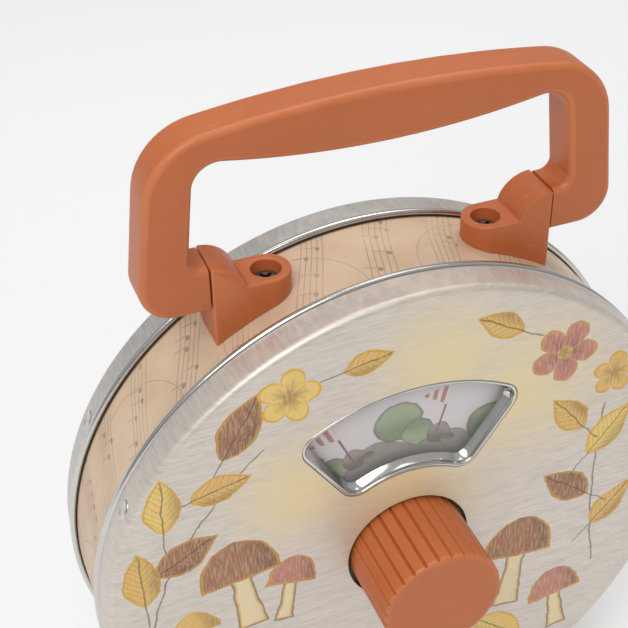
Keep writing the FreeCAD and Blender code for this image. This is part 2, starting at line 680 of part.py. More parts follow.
# Pinned cylinder: arbor, pinion and drum in one, with rows of pins that pluck the comb. A gap of its
# pinion faces the great wheel.
PINION_FRONT = f"{INSIDE} + cylinder_pinion_set"
CYLINDER_FRONT = f"{PINION_FRONT} + cylinder_pinion_thick"
COMB_FIRST = f"({CYLINDER_FRONT} + (cylinder_length - (comb_teeth - 1) * comb_pitch) / 2)"
pin_cylinder = new_body("pin_cylinder")
cylinder_rod = face_sketch(pin_cylinder, "rod", PLATE)
circle(cylinder_rod, "cylinder_arbor")
pad(pin_cylinder, cylinder_rod, f"{REAR_OUTSIDE} - ({PLATE})")
add_wheel(pin_cylinder, "cylinder_teeth", "great_module", PINION_FRONT, "cylinder_pinion_thick")
drum = face_sketch(pin_cylinder, "drum", CYLINDER_FRONT)
circle(drum, "cylinder_radius")
pad(pin_cylinder, drum, "cylinder_length")
for row in range(int(number_of("comb_teeth"))):
    pin_row = face_sketch(pin_cylinder, f"pin_{row}", f"{COMB_FIRST} + {row} * comb_pitch - pin_width / 2")
    turn = f"({row} * pin_turn) * 1 deg"
    pin_corners = []
    for reach, offset in (
        ("cylinder_radius - pin_rise", "-pin_width / 2"),
        ("cylinder_radius + pin_rise", "-pin_width / 2"),
        ("cylinder_radius + pin_rise", "pin_width / 2"),
        ("cylinder_radius - pin_rise", "pin_width / 2"),
    ):
        pin_corners.append((
            f"({reach}) * cos({turn}) - ({offset}) * sin({turn})",
            f"({reach}) * sin({turn}) + ({offset}) * cos({turn})",
        ))
    outline(pin_row, pin_corners)
    pad(pin_cylinder, pin_row, "pin_width")
place(pin_cylinder, "0", CYLINDER_Z)
turn_to(pin_cylinder, "180 / cylinder_teeth")


def make_plate(label, level):
    """A clockwork plate with its corners cut off and a pivot hole for each of the two axes."""
    body = new_body(label)
    sheet_view = face_sketch(body, "sheet", level)
    left = f"({POST_X} + plate_left)"
    right = f"({POST_X} + plate_right)"
    low = "(post_low + plate_edge)"
    high = "(post_top + plate_edge)"
    corners = [
        (f"-{left} + plate_corner", f"-{low}"),
        (f"{right} - plate_corner", f"-{low}"),
        (right, f"-{low} + plate_corner"),
        (right, f"{high} - plate_corner"),
        (f"{right} - plate_corner", high),
        (f"-{left} + plate_corner", high),
        (f"-{left}", f"{high} - plate_corner"),
        (f"-{left}", f"-{low} + plate_corner"),
    ]
    outline(sheet_view, corners)
    circle(sheet_view, "arbor_radius + run_fit")
    circle(sheet_view, "cylinder_arbor + run_fit", ("0", CYLINDER_Z))
    pad(body, sheet_view, "plate_thick")
    return place(body)


front_plate = make_plate("front_plate", PLATE)
rear_plate = make_plate("rear_plate", REAR_INSIDE)


def make_posts(label, start, length):
    """Four six-sided spacers near the plates' corners, with one flat of an upper one facing the arbor."""
    body = new_body(label)
    ends = face_sketch(body, "ends", start)
    for x in (POST_X, f"-{POST_X}"):
        for z in ("post_top", "-post_low"):
            hexagon = []
            for corner in range(6):
                turn = f"(({corner} * 60 - 30) * 1 deg + atan(post_top / {POST_X}))"
                hexagon.append((f"{x} + pillar_radius * cos({turn})", f"{z} + pillar_radius * sin({turn})"))
            outline(ends, hexagon)
    pad(body, ends, length)
    return place(body)


plate_pillars = make_posts("plate_pillars", INSIDE, "plate_span")
mounting_posts = make_posts("mounting_posts", REAR_OUTSIDE, f"{FACE} - tin - ({REAR_OUTSIDE})")

# Mainspring: a flat strip wound in a spiral from the arbor outwards, whose end runs out to a pillar.
SPRING_STEPS_A_TURN = 10
SPRING_TAIL_STEPS = 5
spring_inner = number_of("arbor_radius + arbor_room")
spring_outer = number_of("spring_radius - spring_strip")
spring_strip = number_of("spring_strip")
spring_steps = int(number_of("spring_turns")) * SPRING_STEPS_A_TURN
spring_front = number_of(f"{INSIDE} + spring_set")
pillar_angle = math.atan2(number_of("post_top"), number_of(POST_X))
PILLAR_FLAT = f"(sqrt({POST_X}^2 + post_top^2) - pillar_radius * cos(30 deg))"
pillar_reach = number_of(f"{PILLAR_FLAT} - seat_fit - spring_strip")
tail_angle = math.radians(number_of("spring_tail"))
strip_path = []
for step in range(spring_steps + 1):
    angle = pillar_angle - tail_angle + 2 * math.pi * step / SPRING_STEPS_A_TURN
    strip_path.append((angle, spring_inner + (spring_outer - spring_inner) * step / spring_steps))
for step in range(1, SPRING_TAIL_STEPS + 1):
    share = step / SPRING_TAIL_STEPS
    angle = pillar_angle - tail_angle * (1 - share)
    strip_path.append((angle, spring_outer + (pillar_reach - spring_outer) * share))
inside_edge = []
outside_edge = []
for angle, radius in strip_path:
    ray = Vector(math.cos(angle), 0, math.sin(angle))
    inside_edge.append(ray * radius + Vector(0, spring_front, 0))
    outside_edge.append(ray * (radius + spring_strip) + Vector(0, spring_front, 0))
spring_loop = inside_edge + outside_edge[::-1] + inside_edge[:1]
spring_face = Part.Face(Part.makePolygon(spring_loop))
mainspring = doc.addObject("Part::Feature", "mainspring")
mainspring.Shape = spring_face.extrude(Vector(0, number_of("spring_width"), 0))
place(mainspring)

# Tone comb on its block: steel teeth whose tips stand beside the cylinder's pins.
COMB_TIP = "(cylinder_radius + pin_rise + comb_gap)"
COMB_ROOT = "(cylinder_radius + pin_rise + comb_gap + comb_free)"
tone_comb = new_body("tone_comb")
comb_base = new_sketch(tone_comb, "base", "XY_Plane", "-comb_thick / 2")
comb_corners = [
    (COMB_ROOT, f"{INSIDE} + comb_inset"),
    (f"{COMB_ROOT} + comb_base", f"{INSIDE} + comb_inset"),
    (f"{COMB_ROOT} + comb_base", f"{REAR_INSIDE} - comb_inset"),
    (COMB_ROOT, f"{REAR_INSIDE} - comb_inset"),
]
outline(comb_base, comb_corners)
pad(tone_comb, comb_base, "comb_thick", False)
comb_tooth = new_sketch(tone_comb, "tooth", "XY_Plane", "-comb_thick / 2")
tooth_corners = [
    (COMB_TIP, f"{COMB_FIRST} - comb_tooth / 2"),
    (f"{COMB_ROOT} + comb_tooth", f"{COMB_FIRST} - comb_tooth / 2"),
    (f"{COMB_ROOT} + comb_tooth", f"{COMB_FIRST} + comb_tooth / 2"),
    (COMB_TIP, f"{COMB_FIRST} + comb_tooth / 2"),
]
outline(comb_tooth, tooth_corners)
first_tooth = pad(tone_comb, comb_tooth, "comb_thick", False)
teeth_row = tone_comb.newObject("PartDesign::LinearPattern", "comb_teeth_row")
teeth_row.Originals = [first_tooth]
depth_line = [item for item in tone_comb.Origin.OriginFeatures if item.Role == "Y_Axis"][0]
teeth_row.Direction = (depth_line, [""])
teeth_row.setExpression("Length", bound("(comb_teeth - 1) * comb_pitch"))
teeth_row.setExpression("Occurrences", bound("comb_teeth"))
tone_comb.Tip = teeth_row
place(tone_comb, "0", CYLINDER_Z)

# Comb block: a bar between the plates that the comb lies on.
comb_block = new_body("comb_block")
block_top = new_sketch(comb_block, "top", "XY_Plane", "-comb_thick / 2 - block_height")
block_corners = [
    (COMB_ROOT, INSIDE),
    (f"{COMB_ROOT} + comb_base", INSIDE),
    (f"{COMB_ROOT} + comb_base", REAR_INSIDE),
    (COMB_ROOT, REAR_INSIDE),
]
outline(block_top, block_corners)
pad(comb_block, block_top, "block_height", False)
place(comb_block, "0", CYLINDER_Z)

PIECES = [
    front_lid, rear_lid, side_band, window_lens, bracket_left, bracket_right, clamp_left, clamp_right,
    carry_handle, winding_knob, winding_arbor, picture_disc, great_wheel, pin_cylinder, front_plate,
    rear_plate, plate_pillars, mounting_posts, mainspring, tone_comb, comb_block,
]

doc.recompute()
failed = [item.Name for item in doc.Objects if "Invalid" in item.State or "Error" in item.State]
if failed:
    raise RuntimeError(f"these did not build: {failed}")

# A cut that missed its solid leaves the volume as it was.
for item in doc.Objects:
    if item.TypeId in ("PartDesign::Pocket", "PartDesign::SubtractiveBox"):
        if item.Shape.Volume > item.BaseFeature.Shape.Volume - 0.001:
            raise RuntimeError(f"{item.Name} cuts nothing")

os.makedirs("parts", exist_ok=True)
for piece in PIECES:
    if piece.Shape.isNull() or not piece.Shape.isValid():
        raise RuntimeError(f"{piece.Label} has no valid shape")
    piece.Shape.exportStep(f"parts/{piece.Label}.step")
    box = piece.Shape.BoundBox
    print(
        f"{piece.Label:16s} solids {len(piece.Shape.Solids)} volume {piece.Shape.Volume:9.1f}"
        f" x {box.XMin:7.2f} {box.XMax:7.2f} y {box.YMin:7.2f} {box.YMax:7.2f}"
        f" z {box.ZMin:7.2f} {box.ZMax:7.2f}"
    )
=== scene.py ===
import math

import bpy
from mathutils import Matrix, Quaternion, Vector


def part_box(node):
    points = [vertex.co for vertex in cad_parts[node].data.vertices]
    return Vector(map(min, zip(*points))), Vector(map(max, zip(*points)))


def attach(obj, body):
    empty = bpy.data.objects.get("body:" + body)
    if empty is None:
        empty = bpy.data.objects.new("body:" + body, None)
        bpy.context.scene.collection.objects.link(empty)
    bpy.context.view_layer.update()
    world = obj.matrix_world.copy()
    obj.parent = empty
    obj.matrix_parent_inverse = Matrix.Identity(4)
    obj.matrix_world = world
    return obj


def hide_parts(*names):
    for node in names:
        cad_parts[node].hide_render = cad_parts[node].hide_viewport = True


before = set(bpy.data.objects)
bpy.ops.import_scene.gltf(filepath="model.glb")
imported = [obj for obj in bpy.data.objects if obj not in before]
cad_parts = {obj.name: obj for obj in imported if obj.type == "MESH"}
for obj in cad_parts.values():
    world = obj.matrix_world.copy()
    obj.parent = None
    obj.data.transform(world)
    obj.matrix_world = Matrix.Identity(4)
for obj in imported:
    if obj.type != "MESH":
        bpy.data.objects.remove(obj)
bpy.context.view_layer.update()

# Side band: a strip of tin printed with faint old sheet music on a kraft ground, rolled into a hoop
# inside both lids. Its ends lap at the bottom, and only the stretch between the beads shows.
MM = 0.001
METRES_TO_MM = 1000.0
lid_low, lid_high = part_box("front_lid")
band_low, band_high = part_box("side_band")
TIN_CENTRE = Vector((0, (band_low.y + band_high.y) / 2, (lid_low.z + lid_high.z) / 2))
BAND_RADIUS = band_high.x
BAND_SEGMENTS = 256
TIN_THICK = 0.4 * MM
LAP_HALF_WIDTH = 2.4 * MM
LAP_HALF_LENGTH = 8.6 * MM
LAP_RISE = 0.3 * MM


def deselect():
    if bpy.context.mode != "OBJECT":
        bpy.ops.object.mode_set(mode="OBJECT")
    bpy.ops.object.select_all(action="DESELECT")


def choose(piece, kind, test):
    """Go into edit mode with only those faces, edges or vertices selected that the test takes."""
    bpy.ops.object.mode_set(mode="EDIT")
    bpy.ops.mesh.select_mode(type=kind)
    bpy.ops.mesh.select_all(action="DESELECT")
    bpy.ops.object.mode_set(mode="OBJECT")
    mesh = piece.data
    if kind == "FACE":
        for face in mesh.polygons:
            face.select = test(face)
    elif kind == "EDGE":
        for edge in mesh.edges:
            edge.select = test(*(mesh.vertices[index].co for index in edge.vertices))
    else:
        for vertex in mesh.vertices:
            vertex.select = test(vertex.co)
    bpy.ops.object.mode_set(mode="EDIT")


def finish_mesh(piece, name, smooth_angle=35):
    """Put the piece's place into its mesh, name it and shade its soft edges smooth."""
    deselect()
    piece.select_set(True)
    bpy.context.view_layer.objects.active = piece
    bpy.ops.object.transform_apply()
    bpy.ops.object.shade_smooth_by_angle(angle=math.radians(smooth_angle))
    piece.name = name
    piece.data.name = name
    return piece


def apply_modifier(piece, kind, **settings):
    modifier = piece.modifiers.new(kind.lower(), kind)
    for name, value in settings.items():
        setattr(modifier, name, value)
    bpy.context.view_layer.objects.active = piece
    bpy.ops.object.modifier_apply(modifier=modifier.name)


def add_node(tree, kind, sockets=None, **settings):
    """One shader node with its settings; a socket takes a value or another node's output."""
    made = tree.nodes.new(f"ShaderNode{kind}")
    for name, value in settings.items():
        setattr(made, name, value)
    for key, value in (sockets or {}).items():
        if isinstance(value, bpy.types.NodeSocket):
            tree.links.new(value, made.inputs[key])
        else:
            made.inputs[key].default_value = value
    return made


def compute(tree, operation, *values):
    return add_node(tree, "Math", dict(enumerate(values)), operation=operation).outputs[0]


def times(tree, first, second):
    return compute(tree, "MULTIPLY", first, second)


def scaled(tree, value, factor, base):
    return compute(tree, "MULTIPLY_ADD", value, factor, base)


def minus(tree, value, taken):
    return compute(tree, "SUBTRACT", value, taken)


def inverse(tree, share):
    return compute(tree, "SUBTRACT", 1.0, share)


def size_of(tree, value):
    return compute(tree, "ABSOLUTE", value)


def most(tree, first, second):
    return compute(tree, "MAXIMUM", first, second)


def above(tree, value, limit):
    return compute(tree, "GREATER_THAN", value, limit)


def below(tree, value, limit):
    return compute(tree, "LESS_THAN", value, limit)


def squares(tree, first, second):
    return compute(tree, "ADD", times(tree, first, first), times(tree, second, second))


def ramp(tree, value, low, high):
    """0 below low, 1 above high and a soft step between."""
    sockets = {"Value": value, "From Min": low, "From Max": high}
    return add_node(tree, "MapRange", sockets, interpolation_type="SMOOTHSTEP").outputs[0]


def blend_colours(tree, share, first, second):
    return add_node(tree, "Mix", {0: share, 6: first, 7: second}, data_type="RGBA").outputs[2]


def noise(tree, point, scale, detail=3.0, roughness=0.5):
    sockets = {"Vector": point, "Scale": scale, "Detail": detail, "Roughness": roughness}
    return add_node(tree, "TexNoise", sockets).outputs[0]


def compute_point(tree, operation, *values):
    return add_node(tree, "VectorMath", dict(enumerate(values)), operation=operation).outputs[0]


def stretch(tree, point, factors):
    return compute_point(tree, "MULTIPLY", point, factors)


def new_material(name, **constants):
    """A material with its shader and the piece's own coordinates."""
    material = bpy.data.materials.new(name)
    material.use_nodes = True
    tree = material.node_tree
    shader = tree.nodes["Principled BSDF"]
    for socket, value in constants.items():
        shader.inputs[socket.replace("_", " ")].default_value = value
    point = add_node(tree, "TexCoord").outputs["Object"]
    return material, tree, shader, point


def set_finish(tree, shader, colour, roughness):
    tree.links.new(colour, shader.inputs["Base Color"])
    tree.links.new(roughness, shader.inputs["Roughness"])


def set_bump(tree, shader, height, distance):
    bump = add_node(tree, "Bump", {"Height": height, "Distance": distance, "Strength": 1.0})
    tree.links.new(bump.outputs[0], shader.inputs["Normal"])


deselect()
bpy.ops.mesh.primitive_cylinder_add(
    vertices=BAND_SEGMENTS,
    radius=BAND_RADIUS,
    depth=band_high.y - band_low.y,
    end_fill_type="NOTHING",
    location=TIN_CENTRE,
    rotation=(math.pi / 2, 0, 0),
)
side_band = bpy.context.object
bpy.ops.object.transform_apply()
bpy.ops.object.mode_set(mode="EDIT")
for side in (1, -1):
    bpy.ops.mesh.select_all(action="SELECT")
    cut_at = TIN_CENTRE + Vector((0, side * LAP_HALF_LENGTH, 0))
    bpy.ops.mesh.bisect(plane_co=cut_at, plane_no=(0, 1, 0))
choose(
    side_band,
    "FACE",
    lambda face: face.center.z < TIN_CENTRE.z
    and abs(face.center.x) < LAP_HALF_WIDTH
    and abs(face.center.y - TIN_CENTRE.y) < LAP_HALF_LENGTH,
)
bpy.ops.mesh.extrude_region_shrink_fatten(TRANSFORM_OT_shrink_fatten={"value": LAP_RISE})
bpy.ops.object.mode_set(mode="OBJECT")
apply_modifier(side_band, "SOLIDIFY", thickness=TIN_THICK, offset=-1)
finish_mesh(side_band, "side_band_print")

# The band's print: staves that run slantwise across it, with notes in rows and a few long slurs. Along both
# edges beside the beads the band carries a painted shade for the shadowed gap under each bead. Lengths are in
# millimetres on the strip laid flat.
KRAFT = (0.67, 0.49, 0.335, 1)
KRAFT_AGED = (0.58, 0.40, 0.26, 1)
KRAFT_FIBRE = (0.86, 0.70, 0.54, 1)
FADED_INK = (0.17, 0.115, 0.085, 1)
GAP_PAINTED_SHADE = (0.075, 0.05, 0.035, 1)
GAP_SHADE_EDGE = (8.6, 9.4)
STAVE_SLANT = math.radians(68)
STAVE_PERIOD = 13.0
STAVE_LINES = 5
STAVE_SWAY = 6.0
SWAY_SCALE = 0.03
LINE_STEP = 1.15
LINE_EDGE = (0.045, 0.18)
NOTE_STEP = 2.7
NOTE_LONG = 0.62
NOTE_HIGH = 0.45
NOTE_PLACES = 9.0
NOTE_REST_SHARE = 0.32
HEAD_EDGE = (0.8, 1.3)
NOTE_STEM_OFF = 0.527
NOTE_STEM_HIGH = 3.0
NOTE_STEM_EDGE = (0.05, 0.13)
SLUR_PERIOD = 41.0
SLUR_RADIUS = 15.0
SLUR_DROP = 9.0
SLUR_EDGE = (0.06, 0.16)
FADE_SCALE = 0.055
FADE_EDGE = (0.28, 0.52)
LINE_INK = 0.55
NOTE_INK = 0.75
SLUR_INK = 0.4
INK_STRENGTH = 0.85
AGED_SCALE = 0.09
AGED_EDGE = (0.35, 0.75)
FIBRE_STRETCH = (0.8, 2.2, 1)
FIBRE_SCALE = 1.6
FIBRE_PALE = 0.18
BAND_ROUGH = 0.4
BAND_ROUGH_SPREAD = 0.2
FIBRE_RISE = 0.01 * MM

band_print, tree, shader, point = new_material("printed_band", Coat_Weight=0.15, Coat_Roughness=0.35)
place = add_node(tree, "SeparateXYZ", {0: point}).outputs
across = times(tree, minus(tree, place[1], TIN_CENTRE.y), METRES_TO_MM)
bearing = compute(tree, "ARCTAN2", place[0], minus(tree, place[2], TIN_CENTRE.z))
round_tin = times(tree, bearing, BAND_RADIUS * METRES_TO_MM)
flat = add_node(tree, "CombineXYZ", {0: round_tin, 1: across}).outputs[0]
along = scaled(tree, round_tin, math.cos(STAVE_SLANT), times(tree, across, math.sin(STAVE_SLANT)))
height = scaled(tree, across, math.cos(STAVE_SLANT), times(tree, round_tin, -math.sin(STAVE_SLANT)))
height = scaled(tree, noise(tree, flat, SWAY_SCALE, detail=1.0), STAVE_SWAY, height)
in_stave = compute(tree, "WRAP", height, STAVE_PERIOD, 0.0)
stave_number = compute(tree, "FLOOR", compute(tree, "DIVIDE", height, STAVE_PERIOD))
on_stave = below(tree, in_stave, STAVE_LINES * LINE_STEP)
line_off = minus(tree, LINE_STEP / 2, compute(tree, "PINGPONG", in_stave, LINE_STEP / 2))
lines = times(tree, inverse(tree, ramp(tree, line_off, *LINE_EDGE)), on_stave)
note_number = compute(tree, "FLOOR", compute(tree, "DIVIDE", along, NOTE_STEP))
note_place = add_node(tree, "CombineXYZ", {0: note_number, 1: stave_number}).outputs[0]
dice = add_node(tree, "TexWhiteNoise", {"Vector": note_place}).outputs["Color"]
dice = add_node(tree, "SeparateColor", {0: dice}).outputs
note_height = times(tree, compute(tree, "FLOOR", times(tree, dice[0], NOTE_PLACES)), LINE_STEP / 2)
note_along = minus(tree, compute(tree, "WRAP", along, NOTE_STEP, 0.0), NOTE_STEP / 2)
note_up = minus(tree, in_stave, note_height)
head = squares(tree, times(tree, note_along, 1 / NOTE_LONG), times(tree, note_up, 1 / NOTE_HIGH))
head = inverse(tree, ramp(tree, head, *HEAD_EDGE))
stem_off = size_of(tree, minus(tree, note_along, NOTE_STEM_OFF))
stem_span = times(tree, above(tree, note_up, 0.0), below(tree, note_up, NOTE_STEM_HIGH))
stem = times(tree, inverse(tree, ramp(tree, stem_off, *NOTE_STEM_EDGE)), stem_span)
played = above(tree, dice[1], NOTE_REST_SHARE)
notes = times(tree, most(tree, head, stem), played)
slur_along = minus(tree, compute(tree, "WRAP", round_tin, SLUR_PERIOD, 0.0), SLUR_PERIOD / 2)
slur_reach = compute(tree, "SQRT", squares(tree, slur_along, compute(tree, "ADD", across, SLUR_DROP)))
slur_off = size_of(tree, minus(tree, slur_reach, SLUR_RADIUS))
slur = inverse(tree, ramp(tree, slur_off, *SLUR_EDGE))
fade = ramp(tree, noise(tree, flat, FADE_SCALE, detail=2.0), *FADE_EDGE)
ink = most(tree, times(tree, lines, LINE_INK), times(tree, notes, NOTE_INK))
ink = most(tree, times(tree, ink, fade), times(tree, slur, SLUR_INK))
fibre = noise(tree, stretch(tree, flat, FIBRE_STRETCH), FIBRE_SCALE, detail=5.0, roughness=0.65)
aged = ramp(tree, noise(tree, flat, AGED_SCALE), *AGED_EDGE)
colour = blend_colours(tree, aged, KRAFT, KRAFT_AGED)
colour = blend_colours(tree, times(tree, fibre, FIBRE_PALE), colour, KRAFT_FIBRE)
colour = blend_colours(tree, times(tree, ink, INK_STRENGTH), colour, FADED_INK)
# Painted shade: the band darkens towards both beads, where the gap between band and bead lies in shadow.
colour = blend_colours(tree, ramp(tree, size_of(tree, across), *GAP_SHADE_EDGE), colour, GAP_PAINTED_SHADE)
set_finish(tree, shader, colour, scaled(tree, fibre, BAND_ROUGH_SPREAD, BAND_ROUGH))
set_bump(tree, shader, fibre, FIBRE_RISE)
side_band.data.materials.append(band_print)
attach(side_band, "case")
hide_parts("side_band")

# Lids: two shallow tin pressings with a rounded edge and a skirt that ends in a rolled wire-like bead.
# The front one has the knob's hole and the window's hole; the rear one is closed. They snap on the band.
rear_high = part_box("rear_lid")[1]
BEAD_RADIUS = lid_high.x
SKIRT_RADIUS = BEAD_RADIUS - 0.9 * MM
BEAD_ROUND = 0.77 * MM
BEAD_MIDDLE = SKIRT_RADIUS + 0.1 * MM
BEAD_START = -120
BEAD_SWEEP = 205
BEAD_OFF = 10.2 * MM
EDGE_ROUND = 1.5 * MM
FACE_REACH = rear_high.y - TIN_CENTRE.y
LID_THICK = 0.8 * TIN_THICK
KNOB_HOLE = 13.6 * MM
LID_STEPS = 256
BEAD_STEPS = 16
EDGE_STEPS = 8
FACE_RINGS = 6
MERGE_REACH = 0.005 * MM
FRONT = -1
REAR = 1


def edit_all(piece):
    """Go into edit mode with the whole of one piece selected and nothing else."""
    deselect()
    piece.select_set(True)
    bpy.context.view_layer.objects.active = piece
    bpy.ops.object.mode_set(mode="EDIT")
    bpy.ops.mesh.select_all(action="SELECT")


def turn_outwards(piece, side):
    """Merge doubled points and turn the faces so that the foremost one on that side looks outwards."""
    edit_all(piece)
    bpy.ops.mesh.remove_doubles(threshold=MERGE_REACH)
    bpy.ops.mesh.normals_make_consistent(inside=False)
    bpy.ops.object.mode_set(mode="OBJECT")
    foremost = max(piece.data.polygons, key=lambda face: side * face.center.y)
    if side * foremost.normal.y < 0:
        edit_all(piece)
        bpy.ops.mesh.flip_normals()
        bpy.ops.object.mode_set(mode="OBJECT")


def lid_section(side, hole):
    """Points of a lid's outer skin as (radius, y), from its bead to the middle or to the hole's edge."""
    points = []
    for step in range(BEAD_STEPS + 1):
        turn = math.radians(BEAD_START + BEAD_SWEEP * step / BEAD_STEPS)
        points.append((BEAD_MIDDLE + BEAD_ROUND * math.cos(turn), BEAD_OFF + BEAD_ROUND * math.sin(turn)))
    face_edge = SKIRT_RADIUS - EDGE_ROUND
    for step in range(EDGE_STEPS + 1):
        turn = math.pi / 2 * step / EDGE_STEPS
        level = FACE_REACH - EDGE_ROUND + EDGE_ROUND * math.sin(turn)
        points.append((face_edge + EDGE_ROUND * math.cos(turn), level))
    for ring in range(1, FACE_RINGS + 1):
        points.append((face_edge + (hole - face_edge) * ring / FACE_RINGS, FACE_REACH))
    return [(radius, TIN_CENTRE.y + side * level) for radius, level in points]


def spin_lid(name, side, hole):
    """Extrude the section point by point, spin it about the tin's axis and give it the tin's thickness."""
    deselect()
    bpy.ops.mesh.primitive_plane_add(size=MM)
    lid = bpy.context.object
    bpy.ops.object.mode_set(mode="EDIT")
    bpy.ops.mesh.select_mode(type="VERT")
    bpy.ops.mesh.select_all(action="SELECT")
    bpy.ops.mesh.merge(type="CENTER")
    spot = Vector((0, 0, 0))
    for number, (radius, level) in enumerate(lid_section(side, hole)):
        goal = Vector((radius, level, TIN_CENTRE.z))
        if number == 0:
            bpy.ops.transform.translate(value=goal - spot)
        else:
            bpy.ops.mesh.extrude_vertices_move(TRANSFORM_OT_translate={"value": goal - spot})
        spot = goal
    bpy.ops.mesh.select_all(action="SELECT")
    bpy.ops.mesh.spin(steps=LID_STEPS, angle=2 * math.pi, center=TIN_CENTRE, axis=(0, 1, 0))
    turn_outwards(lid, side)
    apply_modifier(lid, "SOLIDIFY", thickness=LID_THICK, offset=-1)
    return finish_mesh(lid, name)


rear_lid = spin_lid("rear_lid_shell", REAR, 0.0)
front_lid = spin_lid("front_lid_shell", FRONT, KNOB_HOLE)

# The window's outline is a ring sector with rounded corners, about the tin's axis. The hole is cut a
# little larger, to leave room for the lip.
WINDOW_INNER = 21.8 * MM
WINDOW_OUTER = 41.9 * MM
WINDOW_HALF = math.radians(34.5)
WINDOW_CORNER = 3.4 * MM
CUT_GROW = 0.7 * MM
CUT_REACH = 5 * MM
FACE_Y = lid_low.y
CORNER_STEPS = 10
SIDE_STEPS = 36


def window_loop(grow, depth):
    """The outline moved outwards by grow, at a depth behind the lid's face."""
    low_reach = WINDOW_INNER + WINDOW_CORNER
    high_reach = WINDOW_OUTER - WINDOW_CORNER
    low_turn = WINDOW_HALF - math.asin(WINDOW_CORNER / low_reach)
    high_turn = WINDOW_HALF - math.asin(WINDOW_CORNER / high_reach)
    quarter = math.pi / 2
    round_corner = WINDOW_CORNER + grow
    arcs = [
        (low_reach, low_turn, round_corner, -quarter - low_turn, -WINDOW_HALF, CORNER_STEPS),
        (high_reach, high_turn, round_corner, -WINDOW_HALF, quarter - high_turn, CORNER_STEPS),
        (0, 0, WINDOW_OUTER + grow, quarter - high_turn, quarter + high_turn, SIDE_STEPS),
        (high_reach, -high_turn, round_corner, quarter + high_turn, math.pi + WINDOW_HALF, CORNER_STEPS),
        (low_reach, -low_turn, round_corner, math.pi + WINDOW_HALF, 3 * quarter + low_turn, CORNER_STEPS),
        (0, 0, WINDOW_INNER - grow, quarter + low_turn, quarter - low_turn, SIDE_STEPS),
    ]
    points = []
    for reach, turn, radius, start, end, steps in arcs:
        for step in range(steps):
            angle = start + (end - start) * (step + 0.5) / steps
            x = reach * math.sin(turn) + radius * math.cos(angle)
            z = reach * math.cos(turn) + radius * math.sin(angle)
            points.append(Vector((x, FACE_Y + depth, TIN_CENTRE.z + z)))
    return points


def loops_to_piece(loops, name):
    """A skin of quads between closed loops of as many points each."""
    count = len(loops[0])
    points = [point for loop in loops for point in loop]
    faces = []
    for start in range(0, count * (len(loops) - 1), count):
        for column in range(count):
            after = start + (column + 1) % count
            faces.append((start + column, after, after + count, start + column + count))
    mesh = bpy.data.meshes.new(name)
    mesh.from_pydata(points, [], faces)
    piece = bpy.data.objects.new(name, mesh)
    bpy.context.scene.collection.objects.link(piece)
    return piece


def close_ends(piece):
    """Fill the open loops at a skin's two ends."""
    edit_all(piece)
    bpy.ops.mesh.select_all(action="DESELECT")
    bpy.ops.mesh.select_mode(type="EDGE")
    bpy.ops.mesh.select_non_manifold()
    bpy.ops.mesh.fill_holes(sides=0)
    bpy.ops.object.mode_set(mode="OBJECT")


cutter = loops_to_piece([window_loop(CUT_GROW, depth) for depth in (-CUT_REACH, CUT_REACH)], "window_cutter")
close_ends(cutter)
turn_outwards(cutter, FRONT)
deselect()
apply_modifier(front_lid, "BOOLEAN", operation="DIFFERENCE", object=cutter, solver="EXACT")
bpy.data.objects.remove(cutter)
finish_mesh(front_lid, "front_lid_shell", smooth_angle=30)

# The window's edge is turned in as a smooth rolled lip that leans inwards and ends on the clear sheet.
LIP_ROUND = 0.42 * MM
LIP_MIDDLE = 0.22 * MM
LIP_FOLD = 0.35 * MM
LIP_PROUD = 0.04 * MM
LIP_OUTSIDE = CUT_GROW - 0.03 * MM
LIP_INSET = 0.2 * MM
LIP_FLARE = 1.0 * MM
LIP_CURVE = 1.4
LENS_GAP = 0.02 * MM
LIP_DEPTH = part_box("window_lens")[0].y - FACE_Y - LENS_GAP
LIP_THICK = 0.25 * MM
LIP_STEPS = 14
lip_rows = [(LIP_OUTSIDE, LIP_FOLD)]
for step in range(LIP_STEPS + 1):
    turn = math.pi * step / LIP_STEPS
    lip_rows.append((LIP_MIDDLE + LIP_ROUND * math.cos(turn), LIP_ROUND * (1 - math.sin(turn)) - LIP_PROUD))
for step in range(1, LIP_STEPS + 1):
    part_way = step / LIP_STEPS
    lean = LIP_INSET + LIP_FLARE * part_way**LIP_CURVE
    lip_rows.append((-lean, LIP_ROUND + (LIP_DEPTH - LIP_ROUND) * part_way))
window_lip = loops_to_piece([window_loop(grow, depth) for grow, depth in lip_rows], "window_lip")
turn_outwards(window_lip, FRONT)
apply_modifier(window_lip, "SOLIDIFY", thickness=LIP_THICK, offset=-1)
finish_mesh(window_lip, "window_lip", smooth_angle=60)

